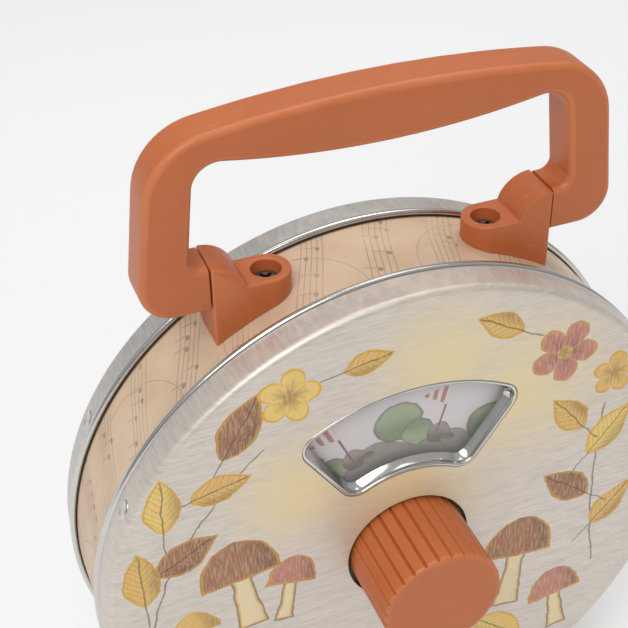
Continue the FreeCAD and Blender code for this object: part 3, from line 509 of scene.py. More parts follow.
# Snap pips: four small oval dimples pressed into each skirt, bright at their rims, which hold the lid on
# the band. Each is half a ball with its top pushed in, flattened against the skirt.
PIP_TURN = math.radians(26.5)
PIP_OFF = 13.8 * MM
PIP_SEAT = SKIRT_RADIUS - 0.1 * MM
PIP_LONG = 2.3 * MM
PIP_WIDE = 1.6 * MM
PIP_RISE = 0.62 * MM
PIP_ROOT = -0.05
PIP_CREST = 0.6
PIP_DISH = -0.9
pips = []
for lid_side in (FRONT, REAR):
    for pip_turn in (PIP_TURN, -PIP_TURN, math.pi - PIP_TURN, math.pi + PIP_TURN):
        deselect()
        bpy.ops.mesh.primitive_uv_sphere_add(segments=32, ring_count=16, radius=1)
        pip = bpy.context.object
        choose(pip, "VERT", lambda place: place.z < PIP_ROOT)
        bpy.ops.mesh.delete(type="VERT")
        choose(pip, "VERT", lambda place: place.z > PIP_CREST)
        bpy.ops.transform.resize(value=(1, 1, PIP_DISH), center_override=(0, 0, PIP_CREST))
        bpy.ops.object.mode_set(mode="OBJECT")
        outward = Vector((math.cos(pip_turn), 0, math.sin(pip_turn)))
        pip.location = TIN_CENTRE + outward * PIP_SEAT + Vector((0, lid_side * PIP_OFF, 0))
        pip.rotation_euler = (0, math.pi / 2 - pip_turn, 0)
        pip.scale = (PIP_LONG, PIP_WIDE, PIP_RISE)
        pips.append(finish_mesh(pip, f"snap_pip_{len(pips) + 1}", smooth_angle=60))
deselect()
for pip in pips:
    pip.select_set(True)
bpy.context.view_layer.objects.active = pips[0]
bpy.ops.object.join()
snap_pips = finish_mesh(pips[0], "snap_pips", smooth_angle=60)

# Bare tin is brushed along the sheet, with a soft mottle and a few handling smudges. The bead, the lip and
# the pips are rolled bright.
TIN_LIGHT = (0.68, 0.645, 0.60, 1)
TIN_DARK = (0.50, 0.475, 0.45, 1)
TIN_MOTTLE = (0.70, 0.655, 0.60, 1)
BRIGHT_LIGHT = (0.68, 0.67, 0.65, 1)
BRIGHT_DARK = (0.56, 0.55, 0.53, 1)
BRUSH_FINE = (270, 270, 3300)
BRUSH_WIDE = (66, 66, 900)
FINE_SHARE = 0.75
STREAK_EDGE = (0.3, 0.7)
SMUDGE_SCALE = 38.0
SMUDGE_EDGE = (0.52, 0.75)
MOTTLE_SPREAD = (300, 300, 600)
MOTTLE_EDGE = (0.3, 0.7)
BARE_MOTTLE = 0.3
BARE_ROUGH = 0.34
STREAK_ROUGH = 0.2
SMUDGE_ROUGH = 0.1
STREAK_RISE = 0.012 * MM
WEAR_SCALE = 240.0
BRIGHT_ROUGH = 0.08
BRIGHT_ROUGH_SPREAD = 0.16
DIMPLE_SCALE = 900.0
DIMPLE_RISE = 0.006 * MM


def new_group(name, inputs, outputs):
    """A shader node group; returns it with its input sockets and its output sockets."""
    group = bpy.data.node_groups.new(name, "ShaderNodeTree")
    for label, kind, value in inputs:
        socket = group.interface.new_socket(label, in_out="INPUT", socket_type=f"NodeSocket{kind}")
        socket.default_value = value
    for label, kind in outputs:
        group.interface.new_socket(label, in_out="OUTPUT", socket_type=f"NodeSocket{kind}")
    entry = group.nodes.new("NodeGroupInput")
    leave = group.nodes.new("NodeGroupOutput")
    return group, entry.outputs, leave.inputs


brushed_tin, group_in, group_out = new_group(
    "brushed_tin",
    [("Point", "Vector", (0, 0, 0))],
    [("Streak", "Float"), ("Smudge", "Float"), ("Mottle", "Float")],
)
fine = noise(brushed_tin, stretch(brushed_tin, group_in["Point"], BRUSH_FINE), 1.0, detail=4.0, roughness=0.6)
wide = noise(brushed_tin, stretch(brushed_tin, group_in["Point"], BRUSH_WIDE), 1.0, roughness=0.55)
streak = scaled(brushed_tin, fine, FINE_SHARE, times(brushed_tin, wide, 1 - FINE_SHARE))
brushed_tin.links.new(streak, group_out["Streak"])
smudge = ramp(brushed_tin, noise(brushed_tin, group_in["Point"], SMUDGE_SCALE), *SMUDGE_EDGE)
brushed_tin.links.new(smudge, group_out["Smudge"])
spread = stretch(brushed_tin, group_in["Point"], MOTTLE_SPREAD)
mottle = ramp(brushed_tin, noise(brushed_tin, spread, 1.0, detail=5.0, roughness=0.7), *MOTTLE_EDGE)
brushed_tin.links.new(mottle, group_out["Mottle"])

bare_tin, tree, shader, point = new_material("bare_tin", Metallic=0.7)
brush = add_node(tree, "Group", {"Point": point}, node_tree=brushed_tin).outputs
colour = blend_colours(tree, ramp(tree, brush["Streak"], *STREAK_EDGE), TIN_DARK, TIN_LIGHT)
colour = blend_colours(tree, times(tree, brush["Mottle"], BARE_MOTTLE), colour, TIN_MOTTLE)
rough = scaled(tree, brush["Streak"], STREAK_ROUGH, BARE_ROUGH)
set_finish(tree, shader, colour, scaled(tree, brush["Smudge"], SMUDGE_ROUGH, rough))
set_bump(tree, shader, brush["Streak"], STREAK_RISE)

bright_tin, tree, shader, point = new_material("bright_tin", Metallic=1.0)
wear = noise(tree, point, WEAR_SCALE, detail=4.0)
colour = blend_colours(tree, wear, BRIGHT_DARK, BRIGHT_LIGHT)
set_finish(tree, shader, colour, scaled(tree, wear, BRIGHT_ROUGH_SPREAD, BRIGHT_ROUGH))
set_bump(tree, shader, noise(tree, point, DIMPLE_SCALE, detail=2.0), DIMPLE_RISE)

# The front lid's print: loose painted leaves, mushrooms and flowers in pencil line and gold on the bare
# tin, with a soft cream glow round the window. Places and lengths are in millimetres from the knob.
OCHRE = (0.74, 0.46, 0.13, 1)
BROWN = (0.36, 0.165, 0.09, 1)
YELLOW = (0.83, 0.57, 0.16, 1)
ROSE = (0.52, 0.21, 0.17, 1)
CREAM = (0.80, 0.66, 0.42, 1)
MOTIF_INPUTS = [
    ("Point", "Vector", (0, 0, 0)),
    ("Place", "Vector", (0, 0, 0)),
    ("Turn", "Float", 0.0),
    ("Length", "Float", 10.0),
    ("Width", "Float", 5.0),
    ("Paint", "Color", (1, 1, 1, 1)),
    ("Ground", "Color", (1, 1, 1, 1)),
    ("Inside", "Float", -1.0),
    ("Pencil", "Float", 0.0),
    ("Shade", "Float", 0.0),
]
MOTIF_OUTPUTS = [("Colour", "Color"), ("Inside", "Float"), ("Pencil", "Float"), ("Shade", "Float")]


def line(tree, off, half_width):
    """1 where the given distance is nearly 0, for a drawn line."""
    return below(tree, size_of(tree, off), half_width)


def open_motif(name):
    """A motif's group, with the point worked out along and across the motif."""
    group, group_in, group_out = new_group(name, MOTIF_INPUTS, MOTIF_OUTPUTS)
    offset = compute_point(group, "SUBTRACT", group_in["Point"], group_in["Place"])
    sockets = {"Vector": offset, "Angle": group_in["Turn"]}
    turned = add_node(group, "VectorRotate", sockets, rotation_type="Y_AXIS").outputs[0]
    parts = add_node(group, "SeparateXYZ", {0: turned}).outputs
    return group, group_in, group_out, parts[2], parts[0]


def close_motif(group, group_in, group_out, inside, paint, pencil, shade):
    """Lay the paint on the ground and pass on how far inside the point is, its lines and its shade."""
    cover = above(group, inside, 0.0)
    outside = inverse(group, cover)
    group.links.new(blend_colours(group, cover, group_in["Ground"], paint), group_out["Colour"])
    group.links.new(most(group, inside, group_in["Inside"]), group_out["Inside"])
    group.links.new(most(group, pencil, times(group, outside, group_in["Pencil"])), group_out["Pencil"])
    shade = times(group, cover, compute(group, "DIVIDE", shade, group_in["Width"]))
    group.links.new(scaled(group, outside, group_in["Shade"], shade), group_out["Shade"])


LEAF_BELLY = 0.8
VEIN_STEP = 1.5
VEIN_WIDTH = 0.10
VEIN_INSET = 0.3
VEIN_INK = 0.55
STALK_SHARE = -0.4
RIB_SHARE = 0.93
RIB_WIDTH = 0.17
leaf, group_in, group_out, along, across = open_motif("painted_leaf")
share = add_node(leaf, "Clamp", {0: compute(leaf, "DIVIDE", along, group_in["Length"])}).outputs[0]
bulge = compute(leaf, "SINE", times(leaf, compute(leaf, "POWER", share, LEAF_BELLY), math.pi))
aside = size_of(leaf, across)
inside = minus(leaf, times(leaf, times(leaf, group_in["Width"], 0.5), bulge), aside)
vein_off = minus(leaf, compute(leaf, "PINGPONG", minus(leaf, along, aside), VEIN_STEP), VEIN_STEP / 2)
veins = times(leaf, times(leaf, line(leaf, vein_off, VEIN_WIDTH), above(leaf, inside, VEIN_INSET)), VEIN_INK)
stalk_end = times(leaf, group_in["Length"], STALK_SHARE)
stalk_span = times(leaf, above(leaf, along, stalk_end), below(leaf, share, RIB_SHARE))
rib = times(leaf, below(leaf, aside, RIB_WIDTH), stalk_span)
close_motif(leaf, group_in, group_out, inside, group_in["Paint"], most(leaf, rib, veins), across)

CAP_HIGH = 0.62
CAP_BRIM = 0.8
STEM_SLIM = 0.12
STEM_FOOT = 0.07
STEM_LINE = 0.2
mushroom, group_in, group_out, along, across = open_motif("painted_mushroom")
aside = size_of(mushroom, across)
share = compute(mushroom, "DIVIDE", along, times(mushroom, group_in["Width"], CAP_HIGH))
dome = inverse(mushroom, times(mushroom, share, share))
dome = compute(mushroom, "SQRT", most(mushroom, dome, 0.0))
half = times(mushroom, times(mushroom, group_in["Width"], 0.5), dome)
over_brim = compute(mushroom, "ADD", along, CAP_BRIM)
cap_inside = compute(mushroom, "MINIMUM", minus(mushroom, half, aside), over_brim)
cap = above(mushroom, cap_inside, 0.0)
down = compute(mushroom, "DIVIDE", along, group_in["Length"])
stem_share = scaled(mushroom, times(mushroom, down, down), STEM_FOOT, STEM_SLIM)
stem_inside = minus(mushroom, times(mushroom, group_in["Width"], stem_share), aside)
over_foot = compute(mushroom, "ADD", along, group_in["Length"])
stem_inside = compute(mushroom, "MINIMUM", stem_inside, over_foot)
stem_inside = compute(mushroom, "MINIMUM", stem_inside, times(mushroom, along, -1.0))
stem_line = times(mushroom, line(mushroom, stem_inside, STEM_LINE), inverse(mushroom, cap))
paint = blend_colours(mushroom, cap, CREAM, group_in["Paint"])
inside = most(mushroom, cap_inside, stem_inside)
close_motif(mushroom, group_in, group_out, inside, paint, stem_line, across)

PETALS = 5
PETAL_ROUND = 0.6
PETAL_LONG = 0.25
HEART_SHARE = 0.125
RAYS = 15
RAY_WIDTH = 0.12
RAY_REACH = 0.62
RAY_INK = 0.7
PETAL_SHADE = 1.4
flower, group_in, group_out, along, across = open_motif("painted_flower")
reach = compute(flower, "SQRT", squares(flower, along, across))
bearing = compute(flower, "ARCTAN2", across, along)
lobe = size_of(flower, compute(flower, "COSINE", times(flower, bearing, PETALS / 2)))
petal = scaled(flower, compute(flower, "POWER", lobe, PETAL_ROUND), PETAL_LONG, PETAL_LONG)
edge = times(flower, group_in["Width"], petal)
heart = below(flower, reach, times(flower, group_in["Width"], HEART_SHARE))
ray_span = times(flower, below(flower, reach, times(flower, edge, RAY_REACH)), inverse(flower, heart))
ray = line(flower, compute(flower, "SINE", times(flower, bearing, RAYS / 2)), RAY_WIDTH)
ray = times(flower, times(flower, ray, ray_span), RAY_INK)
paint = blend_colours(flower, heart, group_in["Paint"], OCHRE)
shade = minus(flower, edge, times(flower, reach, PETAL_SHADE))
close_motif(flower, group_in, group_out, minus(flower, edge, reach), paint, ray, shade)

SPRIG_WIDTH = 0.22
sprig, group_in, group_out, along, across = open_motif("drawn_stem")
share = compute(sprig, "DIVIDE", along, group_in["Length"])
bow = times(sprig, times(sprig, share, share), group_in["Width"])
span = times(sprig, below(sprig, share, 1.0), above(sprig, share, 0.0))
stroke = times(sprig, line(sprig, minus(sprig, across, bow), SPRIG_WIDTH), span)
close_motif(sprig, group_in, group_out, -1.0, group_in["Paint"], stroke, 0.0)

# Each motif: its kind, its place, its turn in degrees, its length, its width and its paint. A later one
# lies over an earlier one.
LID_MOTIFS = [
    (sprig, (-55, -6), 4, 46, 22, BROWN),
    (leaf, (-38, 38), 30, 16, 8.5, BROWN),
    (leaf, (-45, 30), 78, 13, 7, OCHRE),
    (leaf, (-50.5, 24), 2, 14, 7.5, YELLOW),
    (leaf, (-53, 13), 62, 15, 8, BROWN),
    (leaf, (-55.5, 6), -2, 15, 8, OCHRE),
    (mushroom, (-36, 6), -8, 15, 17, BROWN),
    (mushroom, (-25.5, 1), 10, 11, 11, ROSE),
    (mushroom, (-46, -6), -14, 10, 10, OCHRE),
    (flower, (-24.5, 49), 12, 1, 13, YELLOW),
    (leaf, (-14, 51.5), 80, 11, 5.5, OCHRE),
    (sprig, (47, -22), -10, 47, 6, BROWN),
    (leaf, (45, -10), 42, 14, 7, OCHRE),
    (leaf, (43.5, 0), -52, 15, 8, BROWN),
    (leaf, (42, 12), 38, 15, 8, YELLOW),
    (leaf, (40.5, 20), -40, 13, 7, OCHRE),
    (flower, (33.5, 42), 30, 1, 15, ROSE),
    (flower, (46, 33), 5, 1, 11, OCHRE),
    (leaf, (24, 50), -60, 12, 6, OCHRE),
    (mushroom, (27, -12), 6, 16, 17, BROWN),
    (mushroom, (38, -29), -8, 12, 13, ROSE),
    (leaf, (18, -30), 130, 17, 9, YELLOW),
    (leaf, (-10, -32), 190, 18, 9, OCHRE),
    (leaf, (2, -36), 160, 18, 9, BROWN),
    (flower, (-24, -32), 0, 1, 15, ROSE),
    (leaf, (-36, -26), 230, 15, 8, YELLOW),
    (mushroom, (-16, -50), -10, 8, 10, OCHRE),
]
GROUND_LIGHT = (0.745, 0.68, 0.61, 1)
GROUND_DARK = (0.565, 0.515, 0.465, 1)
GROUND_MOTTLE = (0.765, 0.69, 0.61, 1)
GROUND_MOTTLE_SHARE = 0.36
GLOW = (0.84, 0.68, 0.37, 1)
GLOW_STRENGTH = 0.85
GLOWS = [((24, 0, 34), 27.0), ((0, 0, 17), 27.0), ((6, 0, 47), 22.0), ((-24, 0, 24), 20.0)]
WASH_STRETCH = (0.5, 1, 1.1)
WASH_SCALE = 0.10
WASH_EDGE = (0.0, 0.55)
SHAKE_SCALE = 0.30
SHAKE_REACH = (1.3, 0, 1.3)
STROKE_TURN = (0, 0.7, 0)
STROKE_STRETCH = (2.4, 1, 0.3)
STROKE_SCALE = 1.1
STROKE_EDGE = (0.42, 0.72)
STROKE_STRENGTH = 0.42
HARDLY = (1e-6, 1e-6, 1e-6)
PAINT_EDGE = (0.0, 0.2)
SHADE_EDGE = (0.0, 0.45)
SHADE_STRENGTH = 0.5
SHADOW_BROWN = (0.13, 0.07, 0.04, 1)
GOLD = (0.66, 0.36, 0.05, 1)
GOLD_EDGE = (0.3, 0.8)
GOLD_STRENGTH = 0.8
PENCIL = (0.06, 0.05, 0.045, 1)
PENCIL_STRENGTH = 0.62
BARE_METALLIC = 0.55
PAINT_METALLIC_LOSS = -0.45
PRINT_ROUGH = 0.36
PAINT_ROUGH = 0.08
PAINT_HEIGHT = 0.5

printed_lid, tree, shader, point = new_material("printed_lid")
brush = add_node(tree, "Group", {"Point": point}, node_tree=brushed_tin).outputs
colour = blend_colours(tree, ramp(tree, brush["Streak"], *STREAK_EDGE), GROUND_DARK, GROUND_LIGHT)
colour = blend_colours(tree, times(tree, brush["Mottle"], GROUND_MOTTLE_SHARE), colour, GROUND_MOTTLE)
to_mm = (METRES_TO_MM, METRES_TO_MM, METRES_TO_MM)
from_knob = (0, 0, -TIN_CENTRE.z * METRES_TO_MM)
flat = compute_point(tree, "MULTIPLY_ADD", point, to_mm, from_knob)
shaky = add_node(tree, "TexNoise", {"Vector": flat, "Scale": SHAKE_SCALE, "Detail": 2.0}).outputs[1]
shaky = compute_point(tree, "MULTIPLY_ADD", shaky, SHAKE_REACH, flat)
hatched = add_node(tree, "Mapping", {"Vector": flat, "Rotation": STROKE_TURN, "Scale": STROKE_STRETCH})
strokes = noise(tree, hatched.outputs[0], STROKE_SCALE, roughness=0.6)
on_face = stretch(tree, flat, (1, 0, 1))
glow_sum = 0.0
for glow_place, glow_reach in GLOWS:
    away = add_node(tree, "VectorMath", {0: on_face, 1: glow_place}, operation="DISTANCE").outputs["Value"]
    glow_sum = most(tree, inverse(tree, ramp(tree, away, 0.0, glow_reach)), glow_sum)
cloudy = noise(tree, stretch(tree, flat, WASH_STRETCH), WASH_SCALE, roughness=0.55)
wash = times(tree, times(tree, glow_sum, ramp(tree, cloudy, *WASH_EDGE)), GLOW_STRENGTH)
colour = blend_colours(tree, wash, colour, GLOW)
inside = minus(tree, 0.0, 1.0)
pencil = 0.0
shade = 0.0
# Each motif's point leans on the motif before it by next to nothing, so that they are worked out in turn.
for motif, (motif_x, motif_z), turn, length, width, paint in LID_MOTIFS:
    sockets = {
        "Point": compute_point(tree, "MULTIPLY_ADD", inside, HARDLY, shaky),
        "Place": (motif_x, 0, motif_z),
        "Turn": -math.radians(turn),
        "Length": length,
        "Width": width,
        "Paint": paint,
        "Ground": colour,
        "Inside": inside,
        "Pencil": pencil,
        "Shade": shade,
    }
    drawn = add_node(tree, "Group", sockets, node_tree=motif).outputs
    colour = drawn["Colour"]
    inside = drawn["Inside"]
    pencil = drawn["Pencil"]
    shade = drawn["Shade"]
cover = ramp(tree, inside, *PAINT_EDGE)
dark_side = times(tree, times(tree, cover, ramp(tree, shade, *SHADE_EDGE)), SHADE_STRENGTH)
colour = blend_colours(tree, dark_side, colour, SHADOW_BROWN)
pale_strokes = times(tree, times(tree, cover, ramp(tree, strokes, *STROKE_EDGE)), STROKE_STRENGTH)
colour = blend_colours(tree, pale_strokes, colour, CREAM)
gold = times(tree, times(tree, cover, inverse(tree, ramp(tree, inside, *GOLD_EDGE))), GOLD_STRENGTH)
colour = blend_colours(tree, gold, colour, GOLD)
colour = blend_colours(tree, times(tree, pencil, PENCIL_STRENGTH), colour, PENCIL)
painted = most(tree, most(tree, cover, pencil), wash)
tree.links.new(scaled(tree, painted, PAINT_METALLIC_LOSS, BARE_METALLIC), shader.inputs["Metallic"])
rough = scaled(tree, brush["Streak"], STREAK_ROUGH, PRINT_ROUGH)
set_finish(tree, shader, colour, scaled(tree, painted, PAINT_ROUGH, rough))
set_bump(tree, shader, scaled(tree, painted, PAINT_HEIGHT, brush["Streak"]), STREAK_RISE)

BEAD_REACH = SKIRT_RADIUS - 0.6 * MM
for lid, lid_finish in ((front_lid, printed_lid), (rear_lid, bare_tin)):
    lid.data.materials.append(lid_finish)
    lid.data.materials.append(bright_tin)
    for face in lid.data.polygons:
        reach = math.hypot(face.center.x, face.center.z - TIN_CENTRE.z)
        on_bead = reach > BEAD_REACH and abs(face.center.y - TIN_CENTRE.y) < BEAD_OFF + BEAD_ROUND
        face.material_index = int(on_bead)
for piece in (window_lip, snap_pips):
    piece.data.materials.append(bright_tin)
for piece in (front_lid, rear_lid, window_lip, snap_pips):
    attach(piece, "case")
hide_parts("front_lid")
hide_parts("rear_lid")

# Window lens: a piece of clear plastic sheet laid behind the window's lip. It shows as a faint haze
# with soft reflections.
LENS_TINT = (0.93, 0.94, 0.96, 1)
HAZE_SCALE = 45.0
HAZE_COVER = 0.03
HAZE_COVER_SPREAD = 0.06
HAZE_ROUGH = 0.04
HAZE_ROUGH_SPREAD = 0.12


def dress(node_name, material):
    """Give a CAD node its material in every slot."""
    node_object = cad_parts[node_name]
    if not node_object.material_slots:
        node_object.data.materials.append(material)
    for slot in node_object.material_slots:
        slot.material = material


lens_clear, tree, shader, point = new_material("clear_sheet", Base_Color=LENS_TINT, IOR=1.46)
haze = noise(tree, point, HAZE_SCALE, detail=4.0, roughness=0.6)
tree.links.new(scaled(tree, haze, HAZE_COVER_SPREAD, HAZE_COVER), shader.inputs["Alpha"])
tree.links.new(scaled(tree, haze, HAZE_ROUGH_SPREAD, HAZE_ROUGH), shader.inputs["Roughness"])
dress("window_lens", lens_clear)

# Picture disc: printed card that turns behind the window. Its print is a plain repeating country
# pattern: pale sky, round bushes, striped pennants and stones. Lengths are in millimetres.
DISC_REPEATS = 9
DISC_MIDDLE = 32.0
DISC_TURN = 0.35
SKY = (0.66, 0.63, 0.67, 1)
SKY_WARM = (0.76, 0.71, 0.68, 1)
HILL = (0.30, 0.28, 0.24, 1)
SAGE = (0.20, 0.27, 0.15, 1)
SAGE_LIGHT = (0.36, 0.42, 0.25, 1)
STONE = (0.17, 0.13, 0.105, 1)
STONE_LIGHT = (0.36, 0.30, 0.26, 1)
PEBBLE = (0.32, 0.26, 0.22, 1)
OUTLINE = (0.10, 0.08, 0.07, 1)
OUTLINE_STRENGTH = 0.6
PENNANT_RED = (0.42, 0.10, 0.08, 1)
PENNANT_PALE = (0.78, 0.70, 0.62, 1)
WOBBLE_SCALE = 0.35
WOBBLE_MIDDLE = (0.5, 0.5, 0.5)
WOBBLE_REACH = (1.6, 1.6, 0)
PATCH_EDGE = (0.95, 1.03)
OUTLINE_INSIDE = (0.88, 0.96)
OUTLINE_OUTSIDE = (0.97, 1.05)
PAPER_SCALE = 0.12
HILL_WAVE = 1.6
HILL_EDGE = (-5.6, -5.2)
HATCH_STRETCH = (2.2, 0.5, 1)
HATCH_SCALE = 1.3
HATCH_SHADE = 0.9
PATCH_SHADE_EDGE = (0.0, 1.1)
PATCHES = [
    ((-4.6, -0.8, 0), (5.4, 4.8, 1), SAGE, SAGE_LIGHT),
    ((0.2, -4.4, 0), (4.2, 3.4, 1), SAGE_LIGHT, SAGE),
    ((6.0, -5.2, 0), (3.2, 2.5, 1), STONE, STONE_LIGHT),
    ((9.4, -6.6, 0), (2.0, 1.6, 1), PEBBLE, STONE),
]
POLE_PLACE = 5.4
POLE_LOW = -5.0
POLE_HIGH = 7.4
POLE_EDGE = (0.16, 0.3)
FLAG_PLACE = 5.6
FLAG_LEVEL = 4.4
FLAG_HALF = 2.6
FLAG_TAPER = 0.46
STRIPE_STEP = 1.7
FLAG_FADE = 0.35
PAPER_ROUGH = 0.45
PAPER_ROUGH_SPREAD = 0.2
PAPER_RISE = 0.01 * MM

oval_patch, group_in, group_out = new_group(
    "oval_patch",
    [("Point", "Vector", (0, 0, 0)), ("Place", "Vector", (0, 0, 0)), ("Size", "Vector", (1, 1, 1))],
    [("Cover", "Float"), ("Edge", "Float"), ("Shade", "Float")],
)
sockets = {"Vector": group_in["Point"], "Scale": WOBBLE_SCALE, "Detail": 3.0}
wobble = add_node(oval_patch, "TexNoise", sockets).outputs[1]
wobble = compute_point(oval_patch, "SUBTRACT", wobble, WOBBLE_MIDDLE)
offset = compute_point(oval_patch, "SUBTRACT", group_in["Point"], group_in["Place"])
offset = compute_point(oval_patch, "MULTIPLY_ADD", wobble, WOBBLE_REACH, offset)
in_unit = compute_point(oval_patch, "DIVIDE", offset, group_in["Size"])
reach = add_node(oval_patch, "VectorMath", {0: in_unit}, operation="LENGTH").outputs["Value"]
oval_patch.links.new(inverse(oval_patch, ramp(oval_patch, reach, *PATCH_EDGE)), group_out["Cover"])
edge_low = ramp(oval_patch, reach, *OUTLINE_INSIDE)
edge_high = inverse(oval_patch, ramp(oval_patch, reach, *OUTLINE_OUTSIDE))
oval_patch.links.new(times(oval_patch, edge_low, edge_high), group_out["Edge"])
oval_patch.links.new(add_node(oval_patch, "SeparateXYZ", {0: in_unit}).outputs[1], group_out["Shade"])

disc_print, tree, shader, point = new_material("printed_disc", Coat_Weight=0.1)
place = add_node(tree, "SeparateXYZ", {0: point}).outputs
sideways = times(tree, place[0], METRES_TO_MM)
upwards = times(tree, minus(tree, place[2], TIN_CENTRE.z), METRES_TO_MM)
reach = compute(tree, "SQRT", squares(tree, sideways, upwards))
bearing = compute(tree, "ARCTAN2", sideways, upwards)
share = scaled(tree, bearing, DISC_REPEATS / (2 * math.pi), DISC_TURN)
in_repeat = minus(tree, compute(tree, "WRAP", share, 1.0, 0.0), 0.5)
across = times(tree, in_repeat, 2 * math.pi * DISC_MIDDLE / DISC_REPEATS)
height = minus(tree, reach, DISC_MIDDLE)
flat = add_node(tree, "CombineXYZ", {0: across, 1: height}).outputs[0]
paper = noise(tree, stretch(tree, point, to_mm), PAPER_SCALE, detail=4.0, roughness=0.6)
colour = blend_colours(tree, paper, SKY, SKY_WARM)
wave = compute(tree, "COSINE", times(tree, in_repeat, 2 * math.pi))
hill = ramp(tree, scaled(tree, wave, HILL_WAVE, height), *HILL_EDGE)
colour = blend_colours(tree, inverse(tree, hill), colour, HILL)
hatch = noise(tree, stretch(tree, flat, HATCH_STRETCH), HATCH_SCALE)
for patch_place, patch_size, low_paint, high_paint in PATCHES:
    sockets = {"Point": flat, "Place": patch_place, "Size": patch_size}
    patch = add_node(tree, "Group", sockets, node_tree=oval_patch).outputs
    shade = ramp(tree, scaled(tree, hatch, HATCH_SHADE, patch["Shade"]), *PATCH_SHADE_EDGE)
    paint = blend_colours(tree, shade, low_paint, high_paint)
    colour = blend_colours(tree, patch["Cover"], colour, paint)
    colour = blend_colours(tree, times(tree, patch["Edge"], OUTLINE_STRENGTH), colour, OUTLINE)
pole_off = size_of(tree, minus(tree, across, POLE_PLACE))
pole_span = times(tree, above(tree, height, POLE_LOW), below(tree, height, POLE_HIGH))
pole = times(tree, inverse(tree, ramp(tree, pole_off, *POLE_EDGE)), pole_span)
colour = blend_colours(tree, pole, colour, STONE)
flag_along = minus(tree, across, FLAG_PLACE)
flag_half = scaled(tree, flag_along, FLAG_TAPER, FLAG_HALF)
flag_up = size_of(tree, minus(tree, height, FLAG_LEVEL))
flag = times(tree, below(tree, flag_along, 0.0), below(tree, flag_up, flag_half))
stripe = above(tree, compute(tree, "WRAP", flag_along, STRIPE_STEP, 0.0), STRIPE_STEP / 2)
flag_colour = blend_colours(tree, stripe, PENNANT_RED, PENNANT_PALE)
flag_colour = blend_colours(tree, times(tree, hatch, FLAG_FADE), flag_colour, SKY)
colour = blend_colours(tree, flag, colour, flag_colour)
set_finish(tree, shader, colour, scaled(tree, paper, PAPER_ROUGH_SPREAD, PAPER_ROUGH))
set_bump(tree, shader, paper, PAPER_RISE)
dress("picture_disc", disc_print)

# Clockwork: turned and stamped brass and steel, with fine machining lines and a little tarnish. It sits
# shut in the tin, so its CAD pieces stay as they are.
BRASS = (0.80, 0.57, 0.25, 1)
BRASS_DULL = (0.52, 0.34, 0.13, 1)
STEEL = (0.60, 0.60, 0.60, 1)
STEEL_DULL = (0.36, 0.35, 0.34, 1)
BLUED = (0.32, 0.35, 0.42, 1)
BLUED_DULL = (0.22, 0.20, 0.20, 1)
IRON = (0.34, 0.33, 0.32, 1)
IRON_DULL = (0.20, 0.17, 0.15, 1)
MACHINED_ROUGH = 0.2
MACHINED_SCALE = 4.0
MACHINED_RISE = 0.01 * MM
TARNISH_SCALE = 120.0
TARNISH_EDGE = (0.45, 0.75)
TARNISH_ROUGH = 0.15


def metal(name, clean, dull, line_scale, rough):
    material, tree, shader, point = new_material(name, Metallic=1.0)
    machined = noise(tree, stretch(tree, point, line_scale), MACHINED_SCALE, roughness=0.55)
    tarnish = ramp(tree, noise(tree, point, TARNISH_SCALE, detail=4.0, roughness=0.6), *TARNISH_EDGE)
    lined = scaled(tree, machined, MACHINED_ROUGH, rough)
    colour = blend_colours(tree, tarnish, clean, dull)
    set_finish(tree, shader, colour, scaled(tree, tarnish, TARNISH_ROUGH, lined))
    set_bump(tree, shader, machined, MACHINED_RISE)
    return material


brass = metal("brass", BRASS, BRASS_DULL, line_scale=(60, 60, 600), rough=0.22)
steel = metal("steel", STEEL, STEEL_DULL, line_scale=(500, 50, 50), rough=0.24)
spring_steel = metal("spring_steel", BLUED, BLUED_DULL, line_scale=(60, 700, 60), rough=0.25)
block_iron = metal("block_iron", IRON, IRON_DULL, line_scale=(90, 90, 90), rough=0.42)
for node_name in ("front_plate", "rear_plate", "great_wheel", "pin_cylinder"):
    dress(node_name, brass)
for node_name in ("winding_arbor", "plate_pillars", "mounting_posts", "tone_comb"):
    dress(node_name, steel)
dress("mainspring", spring_steel)
dress("comb_block", block_iron)

# Brackets: two moulded terracotta lumps on top of the band, each with a quarter-round hump that takes
# the handle's pin and a low lobe with a sunk screw.
TERRACOTTA = (0.475, 0.122, 0.035, 1)
TERRACOTTA_PALE = (0.54, 0.148, 0.045, 1)
# The pale colour of the painted highlight on tightly bent edges follows.
RUBBED_PALE = (0.8, 0.6, 0.5, 1)
EDGE_HIGHLIGHT_PALE = (0.78, 0.30, 0.13, 1)
GRAIN_SCALE = 1500.0
GRAIN_RISE = 0.006 * MM
CLOUD_SCALE = 55.0
CLOUD_ROUGH = 0.12
SCUFF_STRETCH = (120, 480, 480)
SCUFF_EDGE = (0.62, 0.78)
SCUFF_ROUGH = 0.12
SCUFF_STRENGTH = 0.08
EDGE_HIGHLIGHT_STRENGTH = 0.04
EDGE_HIGHLIGHT_SPREAD = 0.3
SOFT_BEND = 250.0
TIGHT_BEND = 600.0
BRACKET_BEVEL = 0.55 * MM
BRACKET_SHARP = math.radians(38)
NODE_MERGE = 0.002 * MM
FLAT_ANGLE = math.radians(1)

moulded, group_in, group_out = new_group(
    "moulded",
    [("Point", "Vector", (0, 0, 0))],
    [("Grain", "Float"), ("Cloud", "Float"), ("Rub", "Float")],
)
grain = noise(moulded, group_in["Point"], GRAIN_SCALE, detail=2.0, roughness=0.6)
moulded.links.new(grain, group_out["Grain"])
cloud = noise(moulded, group_in["Point"], CLOUD_SCALE, roughness=0.55)
moulded.links.new(cloud, group_out["Cloud"])
scuff = noise(moulded, stretch(moulded, group_in["Point"], SCUFF_STRETCH), 1.0, roughness=0.6)
moulded.links.new(ramp(moulded, scuff, *SCUFF_EDGE), group_out["Rub"])


